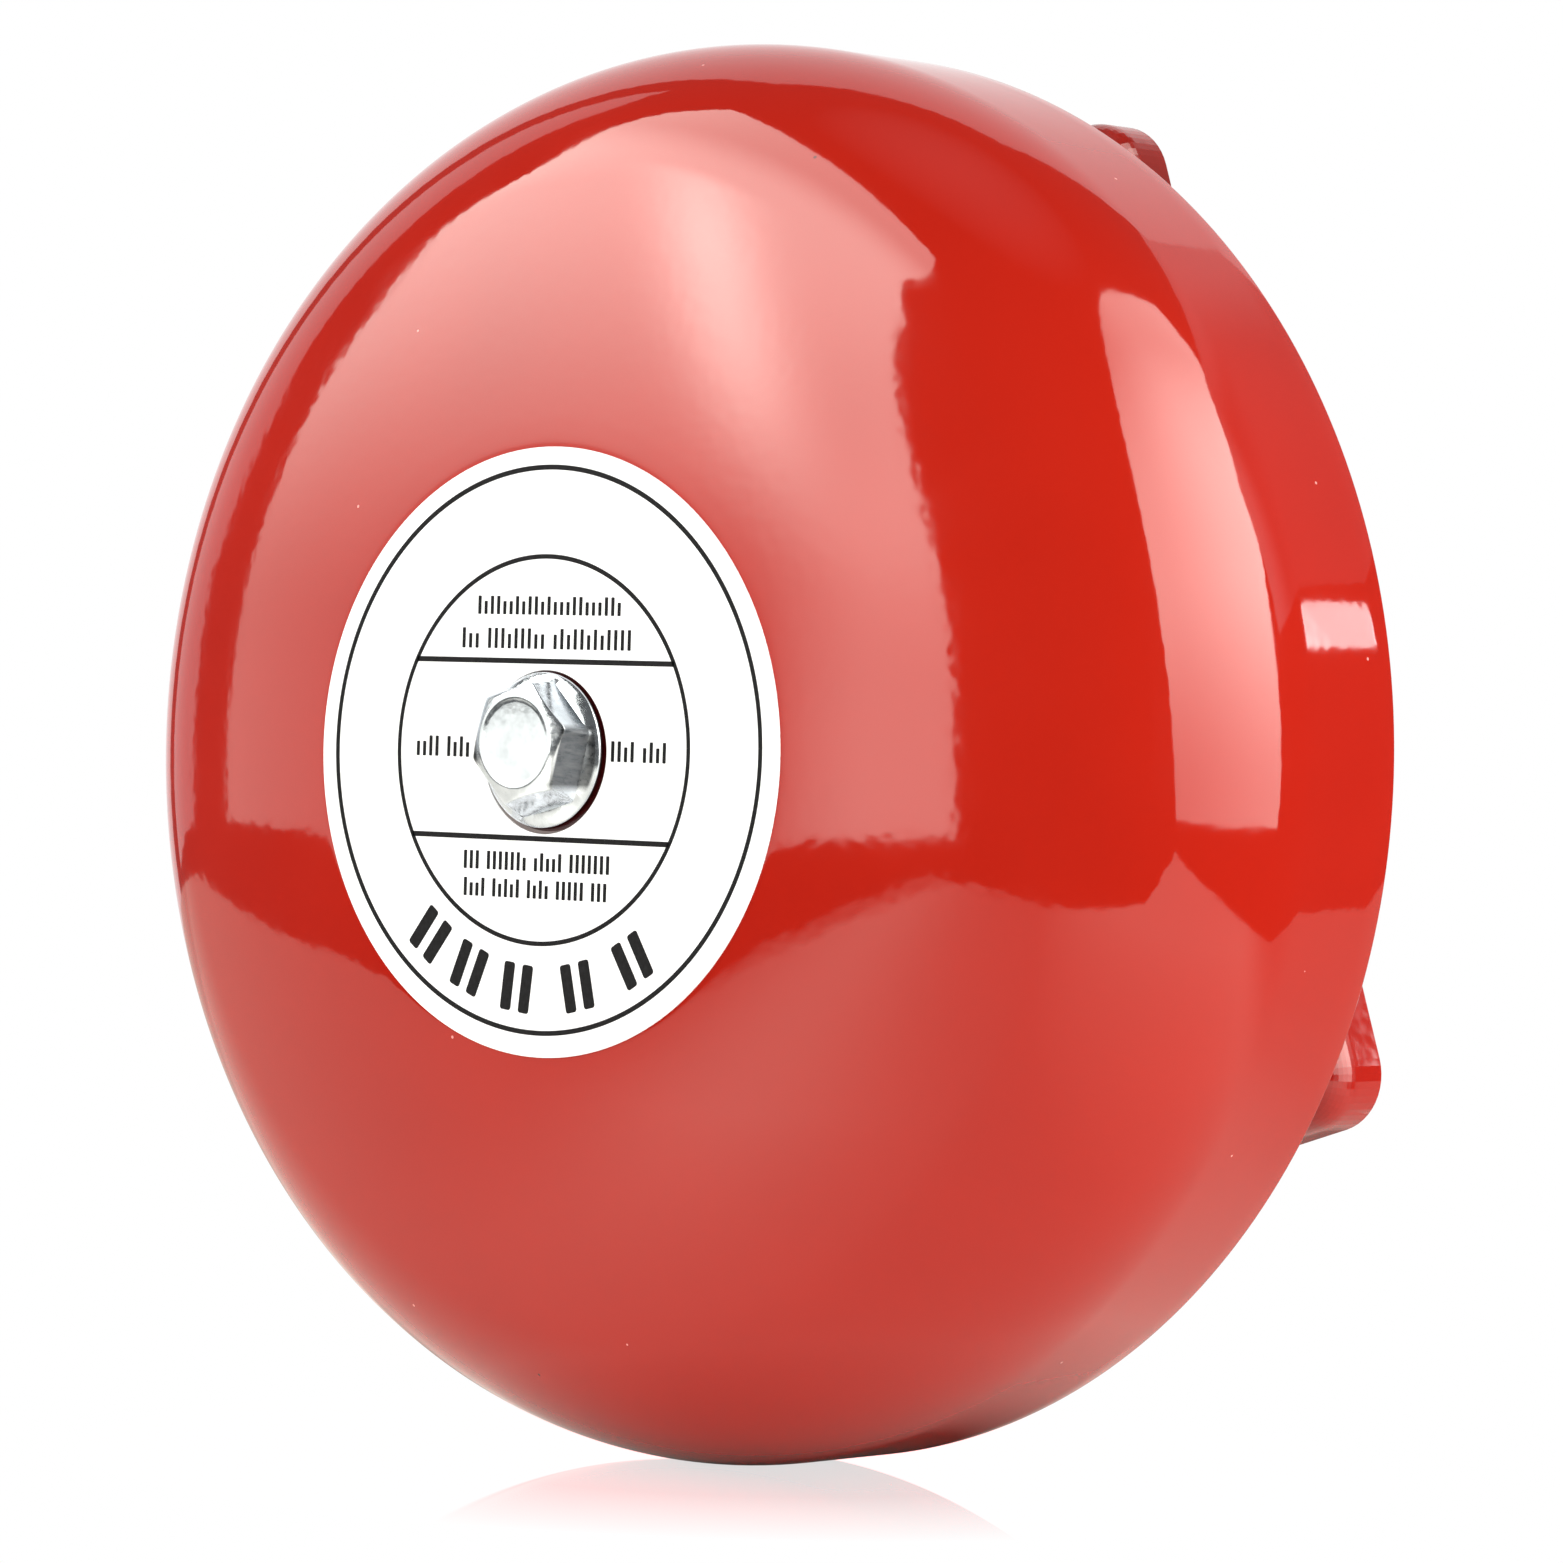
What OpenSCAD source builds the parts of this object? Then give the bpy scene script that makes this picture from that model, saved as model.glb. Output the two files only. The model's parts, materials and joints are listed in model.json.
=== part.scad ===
// Wall-mounted 24 V fire alarm bell with a 150 mm gong and a motor-driven plunger striker.
// The wall is the plane y = 0, the bell faces -Y and +Z is up. Everything is in millimetres.

/* [Gong] */
// Outer radius of the gong at its rim
gong_r = 75; // [74:0.5:76]
// Height of the gong from its rim to the top of the crown arc
gong_h = 47.3; // [47:0.1:47.5]
// Radius of the shallow crown arc
crown_r = 168.4; // [167.5:0.1:169]
// Radius of the shoulder arc between crown and skirt
shoulder_r = 23.5; // [23:0.1:24]
// Height of the flat seat in the middle of the crown
seat_h = 44.3; // [44:0.1:44.5]
// Sheet thickness of the gong
gong_t = 1.5; // [1.2:0.1:1.8]
// Distance from the wall to the gong's rim
rim_y = 10; // [9.6:0.1:10.5]
// Outer radius of the round label
label_r = 31.3; // [30:0.1:31.3]
// Radius of the label's centre hole
label_hole_r = 8.4; // [8.2:0.1:9]
// Thickness of the label
label_t = 0.2; // [0.2:0.05:0.4]

/* [Base] */
// Half of the square base's side
base_half = 54.6; // [54:0.1:56]
// Corner radius of the base
base_corner = 6; // [5:0.5:8]
// Turn of the square base about the gong's axis, in degrees
base_turn = 18.3; // [0:0.1:20]
// Depth of the base from the wall to its front face
base_t = 8; // [8:0.1:8.2]
// Radius that rounds the base's front edge
base_round = 4; // [2:0.5:5]
// Thickness of the base's front panel
panel_t = 3; // [2.5:0.1:3.5]
// Half spacing of the four wall screw holes
hole_half = 45; // [44:0.5:46]
// Radius of a wall screw hole
hole_r = 2.75; // [2.5:0.05:3]

/* [Mechanism cover] */
// Outer radius of the cover's round wall
cover_r = 47; // [47:0.1:48]
// Outer radius of the cover's flange
flange_r = 52; // [51.5:0.1:52.5]
// Distance from the wall to the cover's front face
cover_y = 36.5; // [36:0.1:38]
// Wall thickness of the cover
cover_t = 2; // [1.8:0.1:2.4]
// Thickness of the gasket under the cover
gasket_t = 1; // [0.8:0.1:1]

/* [Striker] */
// Distance from the wall to the striker's centre line
striker_y = 18; // [17.8:0.1:18.2]
// Travel of the striker towards the gong
striker_stroke = 3; // [1:0.1:3]
// Gap that is left to the gong at full stroke
strike_gap = 0.3; // [0.3:0.05:1]
// Running clearance of a shaft in its bore, on the radius
run_gap = 0.05; // [0.02:0.01:0.08]

/* [Gears] */
// Module of the gear pair
gear_module = 0.7; // [0.68:0.01:0.7]
// Teeth of the motor pinion
pinion_teeth = 12; // [11:1:12]
// Teeth of the cam gear
gear_teeth = 48; // [46:1:48]
// Radius of the round cam
cam_r = 5; // [4:0.1:5]
// Offset of the cam from its axle
cam_throw = 1.5; // [1:0.1:1.5]
// Height of the cam gear's axle, below the gong's axis
cam_z = -24; // [-24.5:0.1:-23.8]

/* [Motor] */
// Radius of the motor can
motor_r = 12.2; // [12:0.1:12.3]
// Direction from the cam gear's axle to the motor, in degrees
motor_dir = 10; // [8:1:12]

/* [Hidden] */
$fn = 64;

panel_y = base_t - panel_t;                  // back of the base's front panel
cover_back = base_t + gasket_t;              // where the cover's flange starts
cover_inner_y = cover_y - 2.5;               // inside of the cover's front wall
seat_y = rim_y + seat_h;                     // front of the gong's flat seat
seat_back = seat_y - gong_t;                 // back of the gong's flat seat
pad_t = 1;                                   // thickness of the pad behind the gong
post_foot_t = 2.5;                           // thickness of the post's hexagon foot
post_front = seat_back - pad_t;              // front end of the post
shoulder_c = gong_r - shoulder_r;            // radial place of the shoulder's centre
arc_gap = crown_r - shoulder_r;              // distance between the two arc centres
crown_c = gong_h - crown_r;                  // height of the crown's centre
skirt_h = crown_c + sqrt(pow(arc_gap, 2) - pow(shoulder_c, 2));
tangent_r = shoulder_c * crown_r / arc_gap;  // where crown and shoulder meet

// Gear pair
pinion_pitch_r = gear_module * pinion_teeth / 2;
gear_pitch_r = gear_module * gear_teeth / 2;
gear_gap = pinion_pitch_r + gear_pitch_r;
pressure = 20;                               // pressure angle in degrees
flank_slack = 0.08;                          // each tooth is this much thinner than pitch / 2
gear_back = 11;
gear_front = 14;
cam_front = 20.8;
motor_x = gear_gap * cos(motor_dir);
motor_z = cam_z + gear_gap * sin(motor_dir);

// Motor
bracket_back = 16;
bracket_front = 17.5;
can_front = 28;
cap_front = 30.2;
can_t = 0.8;
shaft_r = 1;
motor_screw_gap = 8.5;                       // from the shaft to a motor screw
bracket_arm = 15.2;                          // from the shaft to a bracket screw
bracket_dirs = [20, 110, 270];

// Striker
inner_r = gong_r - gong_t;
tip_end = -(inner_r - striker_stroke - strike_gap);
tip_r = 3.5;
tip_top = tip_end + 8.2;
rod_r = 2;
follower_r = 3.6;
follower_top = cam_z - cam_r - cam_throw - 0.3;
follower_end = follower_top - 3;
bush_r = 4;
bush_flange_r = 5.5;
bush_top = -42;
bush_seat = -43.5;
boss_end = -50;
bush_nut_end = -52.5;
bush_end = -53.5;
seal_end = -56.5;

// Return spring
spring_turns = 5;
spring_wire_r = 0.35;
spring_r = 3.2;
spring_steps = 14;                           // points in one turn
spring_sides = 6;

// Boss round the guide bush, and the cover's front edge and flange
boss_r = 6.5;
cover_edge_r = 3;
flange_t = 3;

// Height of the gong bolt's head above the gong's seat
bolt_head_h = 4.9;

// Cover screws stand on a circle in the flange
cover_screw_r = 49.5;
cover_screw_dirs = [45, 135, 225, 315];

// Circuit board above the post
board_half_x = 20;
board_low = 14;
board_high = 34;
board_back = 12;
board_front = 13.6;
board_screw_x = 16.5;
board_screw_z = 24;
block_x = -8;
block_z = 24;
block_front = 23.6;
screw_pitch = 5.08;

// Cable entry
entry_x = -28;
entry_z = 8;
entry_r = 6;
entry_bore_r = 3.5;

// Motor leads: points [x, y, z] from the board to the motor's terminals
lead_r = 0.7;
terminal_gap = 5;
red_route = [[13, -13.6, 18], [13, -16, 18], [14.5, -20, 17], [19, -24, 14], [24, -27, 9],
             [26.5, -29.5, 3], [26.5, -31.2, -4], [motor_x + terminal_gap, -31.7, -11],
             [motor_x + terminal_gap, -31.7, motor_z + 0.25]];
black_route = [[8, -13.6, 18], [8, -16, 18], [9, -21, 16.5], [12, -26, 13], [15, -29.5, 7],
               [16.2, -31.2, 1], [16.2, -31.7, -5], [motor_x - terminal_gap, -31.7, -12],
               [motor_x - terminal_gap, -31.7, motor_z + 0.25]];

function polar(r, a) = [r * cos(a), r * sin(a)];
function bracket_hole(i) = [motor_x, motor_z] + polar(bracket_arm, bracket_dirs[i]);

// Involute of a base circle: its point, and the angle that point has moved round
function inv_point(rb, t) = rb * [cos(t) + t * PI / 180 * sin(t), sin(t) - t * PI / 180 * cos(t)];
function inv_roll(rb, r) = sqrt(max(0, pow(r / rb, 2) - 1)) * 180 / PI;
function inv_angle(rb, r) = let (p = inv_point(rb, inv_roll(rb, r))) atan2(p[1], p[0]);

// A cylinder along Y between two distances from the wall
module along_y(r, back, front, x = 0, z = 0) {
    translate([x, -back, z])
        rotate([90, 0, 0])
            cylinder(r = r, h = front - back);
}

// A flat outline in X and Z, made solid between two distances from the wall
module plate_y(back, front) {
    translate([0, -back, 0])
        rotate([90, 0, 0])
            linear_extrude(front - back)
                children();
}

// A profile in radius and distance from the wall, turned about the gong's axis
module turned_y(x = 0, z = 0) {
    translate([x, 0, z])
        rotate([90, 0, 0])
            rotate_extrude($fn = 128)
                children();
}

// A cylinder along Z on the striker's line
module along_z(r, low, high) {
    translate([0, -striker_y, low])
        cylinder(r = r, h = high - low);
}

module ring_2d(inner, outer) {
    difference() {
        circle(outer);
        circle(inner);
    }
}

module rounded_square(half, corner) {
    union() {
        square([2 * half, 2 * (half - corner)], center = true);
        square([2 * (half - corner), 2 * half], center = true);
        for (x = [-1, 1], z = [-1, 1])
            translate([x, z] * (half - corner))
                circle(corner);
    }
}

// Turns its children with the square base
module base_turned() {
    rotate([0, -base_turn, 0])
        children();
}

// Pan head screw along Y with its head towards the front
module screw_y(shank_r, head_r, head_h, back, seat, x, z) {
    difference() {
        union() {
            along_y(shank_r, back, seat, x, z);
            along_y(head_r, seat, seat + head_h, x, z);
        }
        translate([x, -seat - head_h / 2, z])
            for (a = [0, 90])
                rotate([0, a, 0])
                    translate([-head_r * 0.6, -head_h, -head_r * 0.12])
                        cube([head_r * 1.2, head_h, head_r * 0.24]);
    }
}

// One side view of the dome: everything under a surface that lies `inset` inside the outer one
module dome_2d(inset, low) {
    intersection() {
        union() {
            square([gong_r - inset, skirt_h]);
            square([shoulder_c, skirt_h + 20]);
            translate([shoulder_c, skirt_h])
                circle(shoulder_r - inset);
            intersection() {
                translate([0, crown_c])
                    circle(crown_r - inset, $fn = 256);
                square([tangent_r * (crown_r - inset) / crown_r, gong_h]);
            }
        }
        translate([0, low])
            square([gong_r + 1, seat_h - inset - low]);
    }
}

// Spur gear outline with involute flanks, one tooth centred on +x
module gear_2d(teeth, addendum, dedendum) {
    pitch_r = gear_module * teeth / 2;
    base_r = pitch_r * cos(pressure);
    tip_r = pitch_r + addendum;
    root_r = pitch_r - dedendum;
    start_r = max(base_r, root_r);
    half = 90 / teeth - (flank_slack / 2 / pitch_r) * 180 / PI + inv_angle(base_r, pitch_r);
    flank = [for (k = [0:4]) let (r = start_r + (tip_r - start_r) * k / 4)
             [r, half - inv_angle(base_r, r)]];
    side = concat([[root_r, half]], flank);
    polygon([for (i = [0:teeth - 1]) let (a = 360 * i / teeth)
             each concat([for (p = side) polar(p[0], a - p[1])],
                         [for (k = [len(side) - 1:-1:0]) polar(side[k][0], a + side[k][1])])]);
}

// Round tube along a list of points, as one closed mesh
module tube(path, r, sides) {
    n = len(path);
    rings = [for (i = [0:n - 1])
        let (before = path[max(i - 1, 0)],
             after = path[min(i + 1, n - 1)],
             d = (after - before) / norm(after - before),
             u0 = abs(d[1]) < 0.9 ? cross(d, [0, 1, 0]) : cross(d, [1, 0, 0]),
             u = u0 / norm(u0),
             v = cross(d, u))
        each [for (k = [0:sides - 1]) path[i] + r * (cos(360 * k / sides) * u + sin(360 * k / sides) * v)]];
    walls = [for (i = [0:n - 2], k = [0:sides - 1])
        let (a = i * sides + k, b = i * sides + (k + 1) % sides)
        [a, a + sides, b + sides, b]];
    ends = [[for (k = [0:sides - 1]) k], [for (k = [sides - 1:-1:0]) (n - 1) * sides + k]];
    polyhedron(points = rings, faces = concat(walls, ends));
}

// Catmull-Rom points through a route
function route_point(p, i, t) =
    let (n = len(p), a = p[max(i - 1, 0)], b = p[i], c = p[i + 1], d = p[min(i + 2, n - 1)])
    0.5 * (2 * b + (c - a) * t + (2 * a - 5 * b + 4 * c - d) * t * t
           + (3 * b - a - 3 * c + d) * t * t * t);
function smooth(p, per = 4) =
    concat([for (i = [0:len(p) - 2], k = [0:per - 1]) route_point(p, i, k / per)],
           [p[len(p) - 1]]);

module base_shell() {
    hull()
        for (x = [-1, 1], z = [-1, 1])
            translate([x * (base_half - base_corner), 0, z * (base_half - base_corner)])
                rotate([90, 0, 0])
                    rotate_extrude($fn = 48)
                        union() {
                            square([base_corner, base_t - base_round]);
                            square([base_corner - base_round, base_t]);
                            intersection() {
                                translate([base_corner - base_round, base_t - base_round])
                                    circle(base_round, $fn = 48);
                                square([base_corner, base_t]);
                            }
                        }
}

module base_pocket() {
    difference() {
        plate_y(-1, panel_y)
            rounded_square(base_half - 3, base_corner - 3);
        for (x = [-1, 1], z = [-1, 1])
            along_y(7, -2, panel_y + 1, x * hole_half, z * hole_half);
        for (a = [0, 90])
            plate_y(0.5, panel_y + 1)
                rotate([0, 0, a])
                    square([2 * base_half, 2.4], center = true);
    }
}

module base_plate() {
    color([0.78, 0.11, 0.08])
        difference() {
            union() {
                difference() {
                    base_turned() {
                        difference() {
                            base_shell();
                            base_pocket();
                        }
                    }
                    along_y(entry_r, -1, base_t + 1, entry_x, entry_z);
                }
                along_y(13, 0, base_t - 1);
                for (a = cover_screw_dirs)
                    along_y(3.5, 0.8, base_t - 1, polar(cover_screw_r, a)[0], polar(cover_screw_r, a)[1]);
                for (i = [0:2])
                    along_y(3, 1, bracket_back, bracket_hole(i)[0], bracket_hole(i)[1]);
                for (x = [-1, 1])
                    along_y(3, 1, board_back, x * board_screw_x, board_screw_z);
                along_y(4, 1, 10.4, 0, cam_z);
            }
            base_turned()
                for (x = [-1, 1], z = [-1, 1])
                    along_y(hole_r, -1, base_t + 1, x * hole_half, z * hole_half);
            along_y(4, 3, base_t + 1);
            for (a = cover_screw_dirs)
                along_y(1.5, 2.5, base_t + 1, polar(cover_screw_r, a)[0], polar(cover_screw_r, a)[1]);
            for (i = [0:2])
                along_y(1.25, 8, bracket_back + 1, bracket_hole(i)[0], bracket_hole(i)[1]);
            for (x = [-1, 1])
                along_y(1.25, 5, board_back + 1, x * board_screw_x, board_screw_z);
            along_y(1.5, 3, 11, 0, cam_z);
        }
}

module cable_grommet() {
    color([0.08, 0.08, 0.08])
        turned_y(entry_x, entry_z)
            union() {
                translate([entry_bore_r, panel_y - 1.5])
                    square([8 - entry_bore_r, 1.5]);
                translate([entry_bore_r, panel_y])
                    square([entry_r - entry_bore_r, panel_t]);
                translate([entry_bore_r, base_t])
                    square([8 - entry_bore_r, 1.5]);
            }
}

module cover_gasket() {
    color([0.12, 0.12, 0.12])
        difference() {
            plate_y(base_t, cover_back)
                ring_2d(45.5, flange_r);
            for (a = cover_screw_dirs)
                along_y(1.7, base_t - 1, cover_back + 1,
                        polar(cover_screw_r, a)[0], polar(cover_screw_r, a)[1]);
        }
}

module mechanism_cover() {
    color([0.1, 0.1, 0.11])
        difference() {
            union() {
                difference() {
                    turned_y()
                        union() {
                            translate([0, cover_back])
                                square([flange_r, flange_t]);
                            translate([0, cover_back])
                                square([cover_r, cover_y - cover_back - cover_edge_r]);
                            square([cover_r - cover_edge_r, cover_y]);
                            translate([cover_r - cover_edge_r, cover_y - cover_edge_r])
                                circle(cover_edge_r);
                        }
                    along_y(cover_r - cover_t, -1, cover_inner_y);
                }
                difference() {
                    along_z(boss_r, boss_end, bush_seat);
                    along_y(cover_r - cover_t, -1, cover_inner_y + 8, 0, 0.001);
                }
                intersection() {
                    along_z(boss_r, boss_end, bush_seat);
                    plate_y(cover_back, cover_inner_y)
                        circle(cover_r);
                }
            }
            along_z(bush_r, -60, -38);
            along_y(7, cover_inner_y - 1, cover_y + 1);
            for (a = cover_screw_dirs)
                along_y(1.7, cover_back - 1, cover_y,
                        polar(cover_screw_r, a)[0], polar(cover_screw_r, a)[1]);
        }
}

module cover_screws() {
    color([0.75, 0.76, 0.78])
        for (a = cover_screw_dirs)
            screw_y(1.5, 2.4, 1.8, 2.6, cover_back + flange_t,
                    polar(cover_screw_r, a)[0], polar(cover_screw_r, a)[1]);
}

module gong_post() {
    color([0.7, 0.71, 0.73])
        difference() {
            union() {
                along_y(4, 3, base_t);
                plate_y(base_t, base_t + post_foot_t)
                    circle(8.1, $fn = 6);
                along_y(6, base_t + post_foot_t, post_front);
            }
            along_y(4, post_front - 16, post_front + 1);
        }
}

module post_seal() {
    color([0.1, 0.1, 0.1])
        turned_y()
            union() {
                translate([6, cover_inner_y])
                    square([1, cover_y - cover_inner_y]);
                translate([6, cover_y])
                    square([3, 1.5]);
            }
}

module gong_pad() {
    color([0.15, 0.15, 0.15])
        plate_y(post_front, seat_back)
            ring_2d(4, 8);
}

module gong() {
    color([0.8, 0.12, 0.09])
        turned_y()
            translate([0, rim_y])
                difference() {
                    dome_2d(0, 0);
                    dome_2d(gong_t, -1);
                    translate([-1, -1])
                        square([5, gong_h + 2]);
                }
}

module gong_label() {
    color([0.96, 0.96, 0.95])
        plate_y(seat_y, seat_y + label_t)
            ring_2d(label_hole_r, label_r);
}

module gong_bolt() {
    color([0.8, 0.81, 0.83])
        union() {
            along_y(4, post_front - 15, seat_y);
            turned_y()
                translate([0, seat_y])
                    polygon([[0, 0], [8, 0], [8, 0.7], [6.4, 1.6], [0, 1.6]]);
            intersection() {
                plate_y(seat_y + 1, seat_y + bolt_head_h)
                    rotate([0, 0, 25])
                        circle(6 / cos(30), $fn = 6);
                turned_y()
                    translate([0, seat_y])
                        polygon([[0, 0], [8, 0], [8, bolt_head_h - 0.9], [5.6, bolt_head_h],
                                 [0, bolt_head_h]]);
            }
        }
}

module motor_bracket() {
    color([0.72, 0.73, 0.75])
        difference() {
            plate_y(bracket_back, bracket_front)
                union() {
                    translate([motor_x, motor_z])
                        circle(14);
                    for (i = [0:2])
                        translate(bracket_hole(i))
                            circle(3.5);
                }
            along_y(3, bracket_back - 1, bracket_front + 1, motor_x, motor_z);
            for (s = [-1, 1])
                along_y(1.1, bracket_back - 1, bracket_front + 1, motor_x + s * motor_screw_gap, motor_z);
            for (i = [0:2])
                along_y(1.35, bracket_back - 1, bracket_front + 1, bracket_hole(i)[0], bracket_hole(i)[1]);
        }
}

module bracket_screws() {
    color([0.8, 0.8, 0.82])
        for (i = [0:2])
            screw_y(1.25, 2.3, 1.6, 8.5, bracket_front, bracket_hole(i)[0], bracket_hole(i)[1]);
}

// Flat-headed screws that hold the motor from the wall side of the bracket
module motor_screws() {
    color([0.8, 0.8, 0.82])
        for (s = [-1, 1])
            union() {
                along_y(1, bracket_back, bracket_front + can_t + 0.6,
                        motor_x + s * motor_screw_gap, motor_z);
                along_y(1.8, bracket_back - 1, bracket_back, motor_x + s * motor_screw_gap, motor_z);
            }
}

module motor_can() {
    color([0.75, 0.76, 0.78])
        difference() {
            along_y(motor_r, bracket_front, can_front, motor_x, motor_z);
            along_y(motor_r - can_t, bracket_front + can_t, can_front + 1, motor_x, motor_z);
            along_y(3, bracket_front - 1, bracket_front + 2, motor_x, motor_z);
            for (s = [-1, 1])
                along_y(1, bracket_front - 1, bracket_front + 2, motor_x + s * motor_screw_gap, motor_z);
        }
}

module motor_magnet() {
    color([0.2, 0.2, 0.21])
        plate_y(20, 26.5)
            translate([motor_x, motor_z])
                ring_2d(9.2, motor_r - can_t);
}

module motor_bearing() {
    color([0.72, 0.53, 0.25])
        plate_y(bracket_back - 0.4, bracket_front + 2)
            translate([motor_x, motor_z])
                ring_2d(shaft_r + run_gap, 3);
}

module motor_end_cap() {
    color([0.9, 0.89, 0.85])
        difference() {
            along_y(motor_r, can_front, cap_front, motor_x, motor_z);
            along_y(shaft_r + run_gap, can_front - 1, cap_front - 0.8, motor_x, motor_z);
            for (s = [-1, 1])
                translate([motor_x + s * terminal_gap - 1.25, -cap_front - 1, motor_z - 0.25])
                    cube([2.5, 3, 0.5]);
        }
}

module motor_terminals() {
    color([0.8, 0.7, 0.4])
        for (s = [-1, 1])
            translate([motor_x + s * terminal_gap - 1.25, -cap_front - 2.2, motor_z - 0.25])
                cube([2.5, 4.2, 0.5]);
}

module motor_shaft() {
    color([0.8, 0.81, 0.83])
        along_y(shaft_r, 9.8, cap_front - 1, motor_x, motor_z);
}

module motor_armature() {
    color([0.55, 0.35, 0.2])
        plate_y(20.5, 26)
            translate([motor_x, motor_z])
                difference() {
                    circle(8.4);
                    circle(shaft_r);
                    for (a = [0:120:240])
                        rotate(a)
                            translate([4, -0.6])
                                square([6, 1.2]);
                }
}

module motor_pinion() {
    color([0.9, 0.88, 0.8])
        plate_y(10.6, 14.6)
            translate([motor_x, motor_z])
                difference() {
                    rotate(motor_dir + 180 + 180 / pinion_teeth)
                        gear_2d(pinion_teeth, 0.6, 0.75);
                    circle(shaft_r);
                }
}

module gear_axle() {
    color([0.8, 0.81, 0.83])
        along_y(1.5, 3, 22.4, 0, cam_z);
}

module gear_washer() {
    color([0.75, 0.6, 0.3])
        plate_y(10.4, 10.9)
            translate([0, cam_z])
                ring_2d(1.5, 3.6);
}

module cam_gear() {
    color([0.93, 0.92, 0.86])
        difference() {
            union() {
                plate_y(gear_back, gear_front)
                    translate([0, cam_z])
                        rotate(motor_dir)
                            gear_2d(gear_teeth, 0.5, 0.8);
                along_y(cam_r, gear_front - 1, cam_front, 0, cam_z - cam_throw);
            }
            along_y(1.5 + run_gap, gear_back - 1, cam_front + 1, 0, cam_z);
            for (a = [30:60:330])
                along_y(2.6, gear_back - 1, gear_front + 1,
                        polar(11.4, a)[0], cam_z + polar(11.4, a)[1]);
        }
}

module axle_clip() {
    color([0.3, 0.3, 0.32])
        plate_y(21.2, 21.8)
            translate([0, cam_z])
                difference() {
                    ring_2d(1.5, 3.3);
                    translate([0, -0.9])
                        square([4, 1.8]);
                }
}

module striker_rod() {
    color([0.8, 0.81, 0.83])
        along_z(rod_r, tip_top - 4, follower_top - 1);
}

module striker_follower() {
    color([0.93, 0.92, 0.86])
        difference() {
            along_z(follower_r, follower_end, follower_top);
            along_z(rod_r, follower_end - 1, follower_top - 1);
        }
}

module striker_tip() {
    color([0.65, 0.66, 0.68])
        difference() {
            intersection() {
                along_z(tip_r, tip_end, tip_top);
                translate([0, -striker_y, tip_end + 9])
                    sphere(9);
            }
            along_z(rod_r, tip_top - 4, tip_top + 1);
        }
}

module return_spring() {
    low = bush_top + spring_wire_r;
    high = follower_end - spring_wire_r;
    count = spring_turns * spring_steps;
    color([0.6, 0.61, 0.63])
        tube([for (i = [0:count]) let (a = 360 * i / spring_steps)
              [spring_r * cos(a), spring_r * sin(a) - striker_y, low + (high - low) * i / count]],
             spring_wire_r, spring_sides);
}

module guide_bush() {
    color([0.78, 0.6, 0.28])
        difference() {
            union() {
                along_z(bush_flange_r, bush_seat, bush_top);
                along_z(bush_r, bush_end, bush_seat);
            }
            along_z(rod_r + run_gap, bush_end - 1, bush_top + 1);
        }
}

module bush_nut() {
    color([0.78, 0.6, 0.28])
        difference() {
            translate([0, -striker_y, bush_nut_end])
                cylinder(r = 5.5 / cos(30), h = boss_end - bush_nut_end, $fn = 6);
            along_z(bush_r, bush_nut_end - 1, boss_end + 1);
        }
}

module striker_seal() {
    color([0.09, 0.09, 0.09])
        difference() {
            translate([0, -striker_y, 0])
                rotate_extrude($fn = 64)
                    polygon([[0, bush_nut_end], [5.2, bush_nut_end], [5.2, bush_end - 0.5],
                             [3, seal_end], [0, seal_end]]);
            along_z(bush_r, bush_end, bush_nut_end + 1);
            along_z(rod_r + run_gap, seal_end - 1, bush_end + 1);
        }
}

module circuit_board() {
    color([0.1, 0.35, 0.2])
        difference() {
            translate([-board_half_x, -board_front, board_low])
                cube([2 * board_half_x, board_front - board_back, board_high - board_low]);
            for (x = [-1, 1])
                along_y(1.5, board_back - 1, board_front + 1, x * board_screw_x, board_screw_z);
        }
}

module board_screws() {
    color([0.8, 0.8, 0.82])
        for (x = [-1, 1])
            screw_y(1.25, 2.3, 1.5, 6, board_front, x * board_screw_x, board_screw_z);
}

module terminal_block() {
    color([0.15, 0.4, 0.25])
        difference() {
            translate([block_x - 5.1, -block_front, block_z - 4])
                cube([10.2, block_front - board_front, 8]);
            for (s = [-1, 1]) {
                along_y(1.8, block_front - 6, block_front + 1,
                        block_x + s * screw_pitch / 2, block_z - 0.5);
                translate([block_x + s * screw_pitch / 2 - 1.5, -block_front + 5.5, block_z - 5])
                    cube([3, 3, 5]);
            }
        }
}

module terminal_screws() {
    color([0.8, 0.8, 0.82])
        for (s = [-1, 1])
            difference() {
                along_y(1.8, block_front - 6, block_front - 1.2,
                        block_x + s * screw_pitch / 2, block_z - 0.5);
                translate([block_x + s * screw_pitch / 2 - 2, -block_front, block_z - 0.8])
                    cube([4, 2, 0.6]);
            }
}

module capacitor() {
    color([0.15, 0.2, 0.45])
        along_y(4, board_front, board_front + 11, 4, 26);
}

module diode() {
    color([0.12, 0.12, 0.12])
        union() {
            translate([8, -board_front - 1.35, 31.3])
                rotate([0, 90, 0])
                    cylinder(r = 1.35, h = 5);
            translate([6.2, -board_front - 1.6, 31.05])
                cube([8.6, 0.5, 0.5]);
            for (x = [6.2, 14.3])
                translate([x, -board_front - 1.6, 31.05])
                    cube([0.5, 1.6, 0.5]);
        }
}

module lead_red() {
    color([0.75, 0.08, 0.08])
        tube(smooth(red_route), lead_r, 8);
}

module lead_black() {
    color([0.06, 0.06, 0.06])
        tube(smooth(black_route), lead_r, 8);
}

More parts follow.
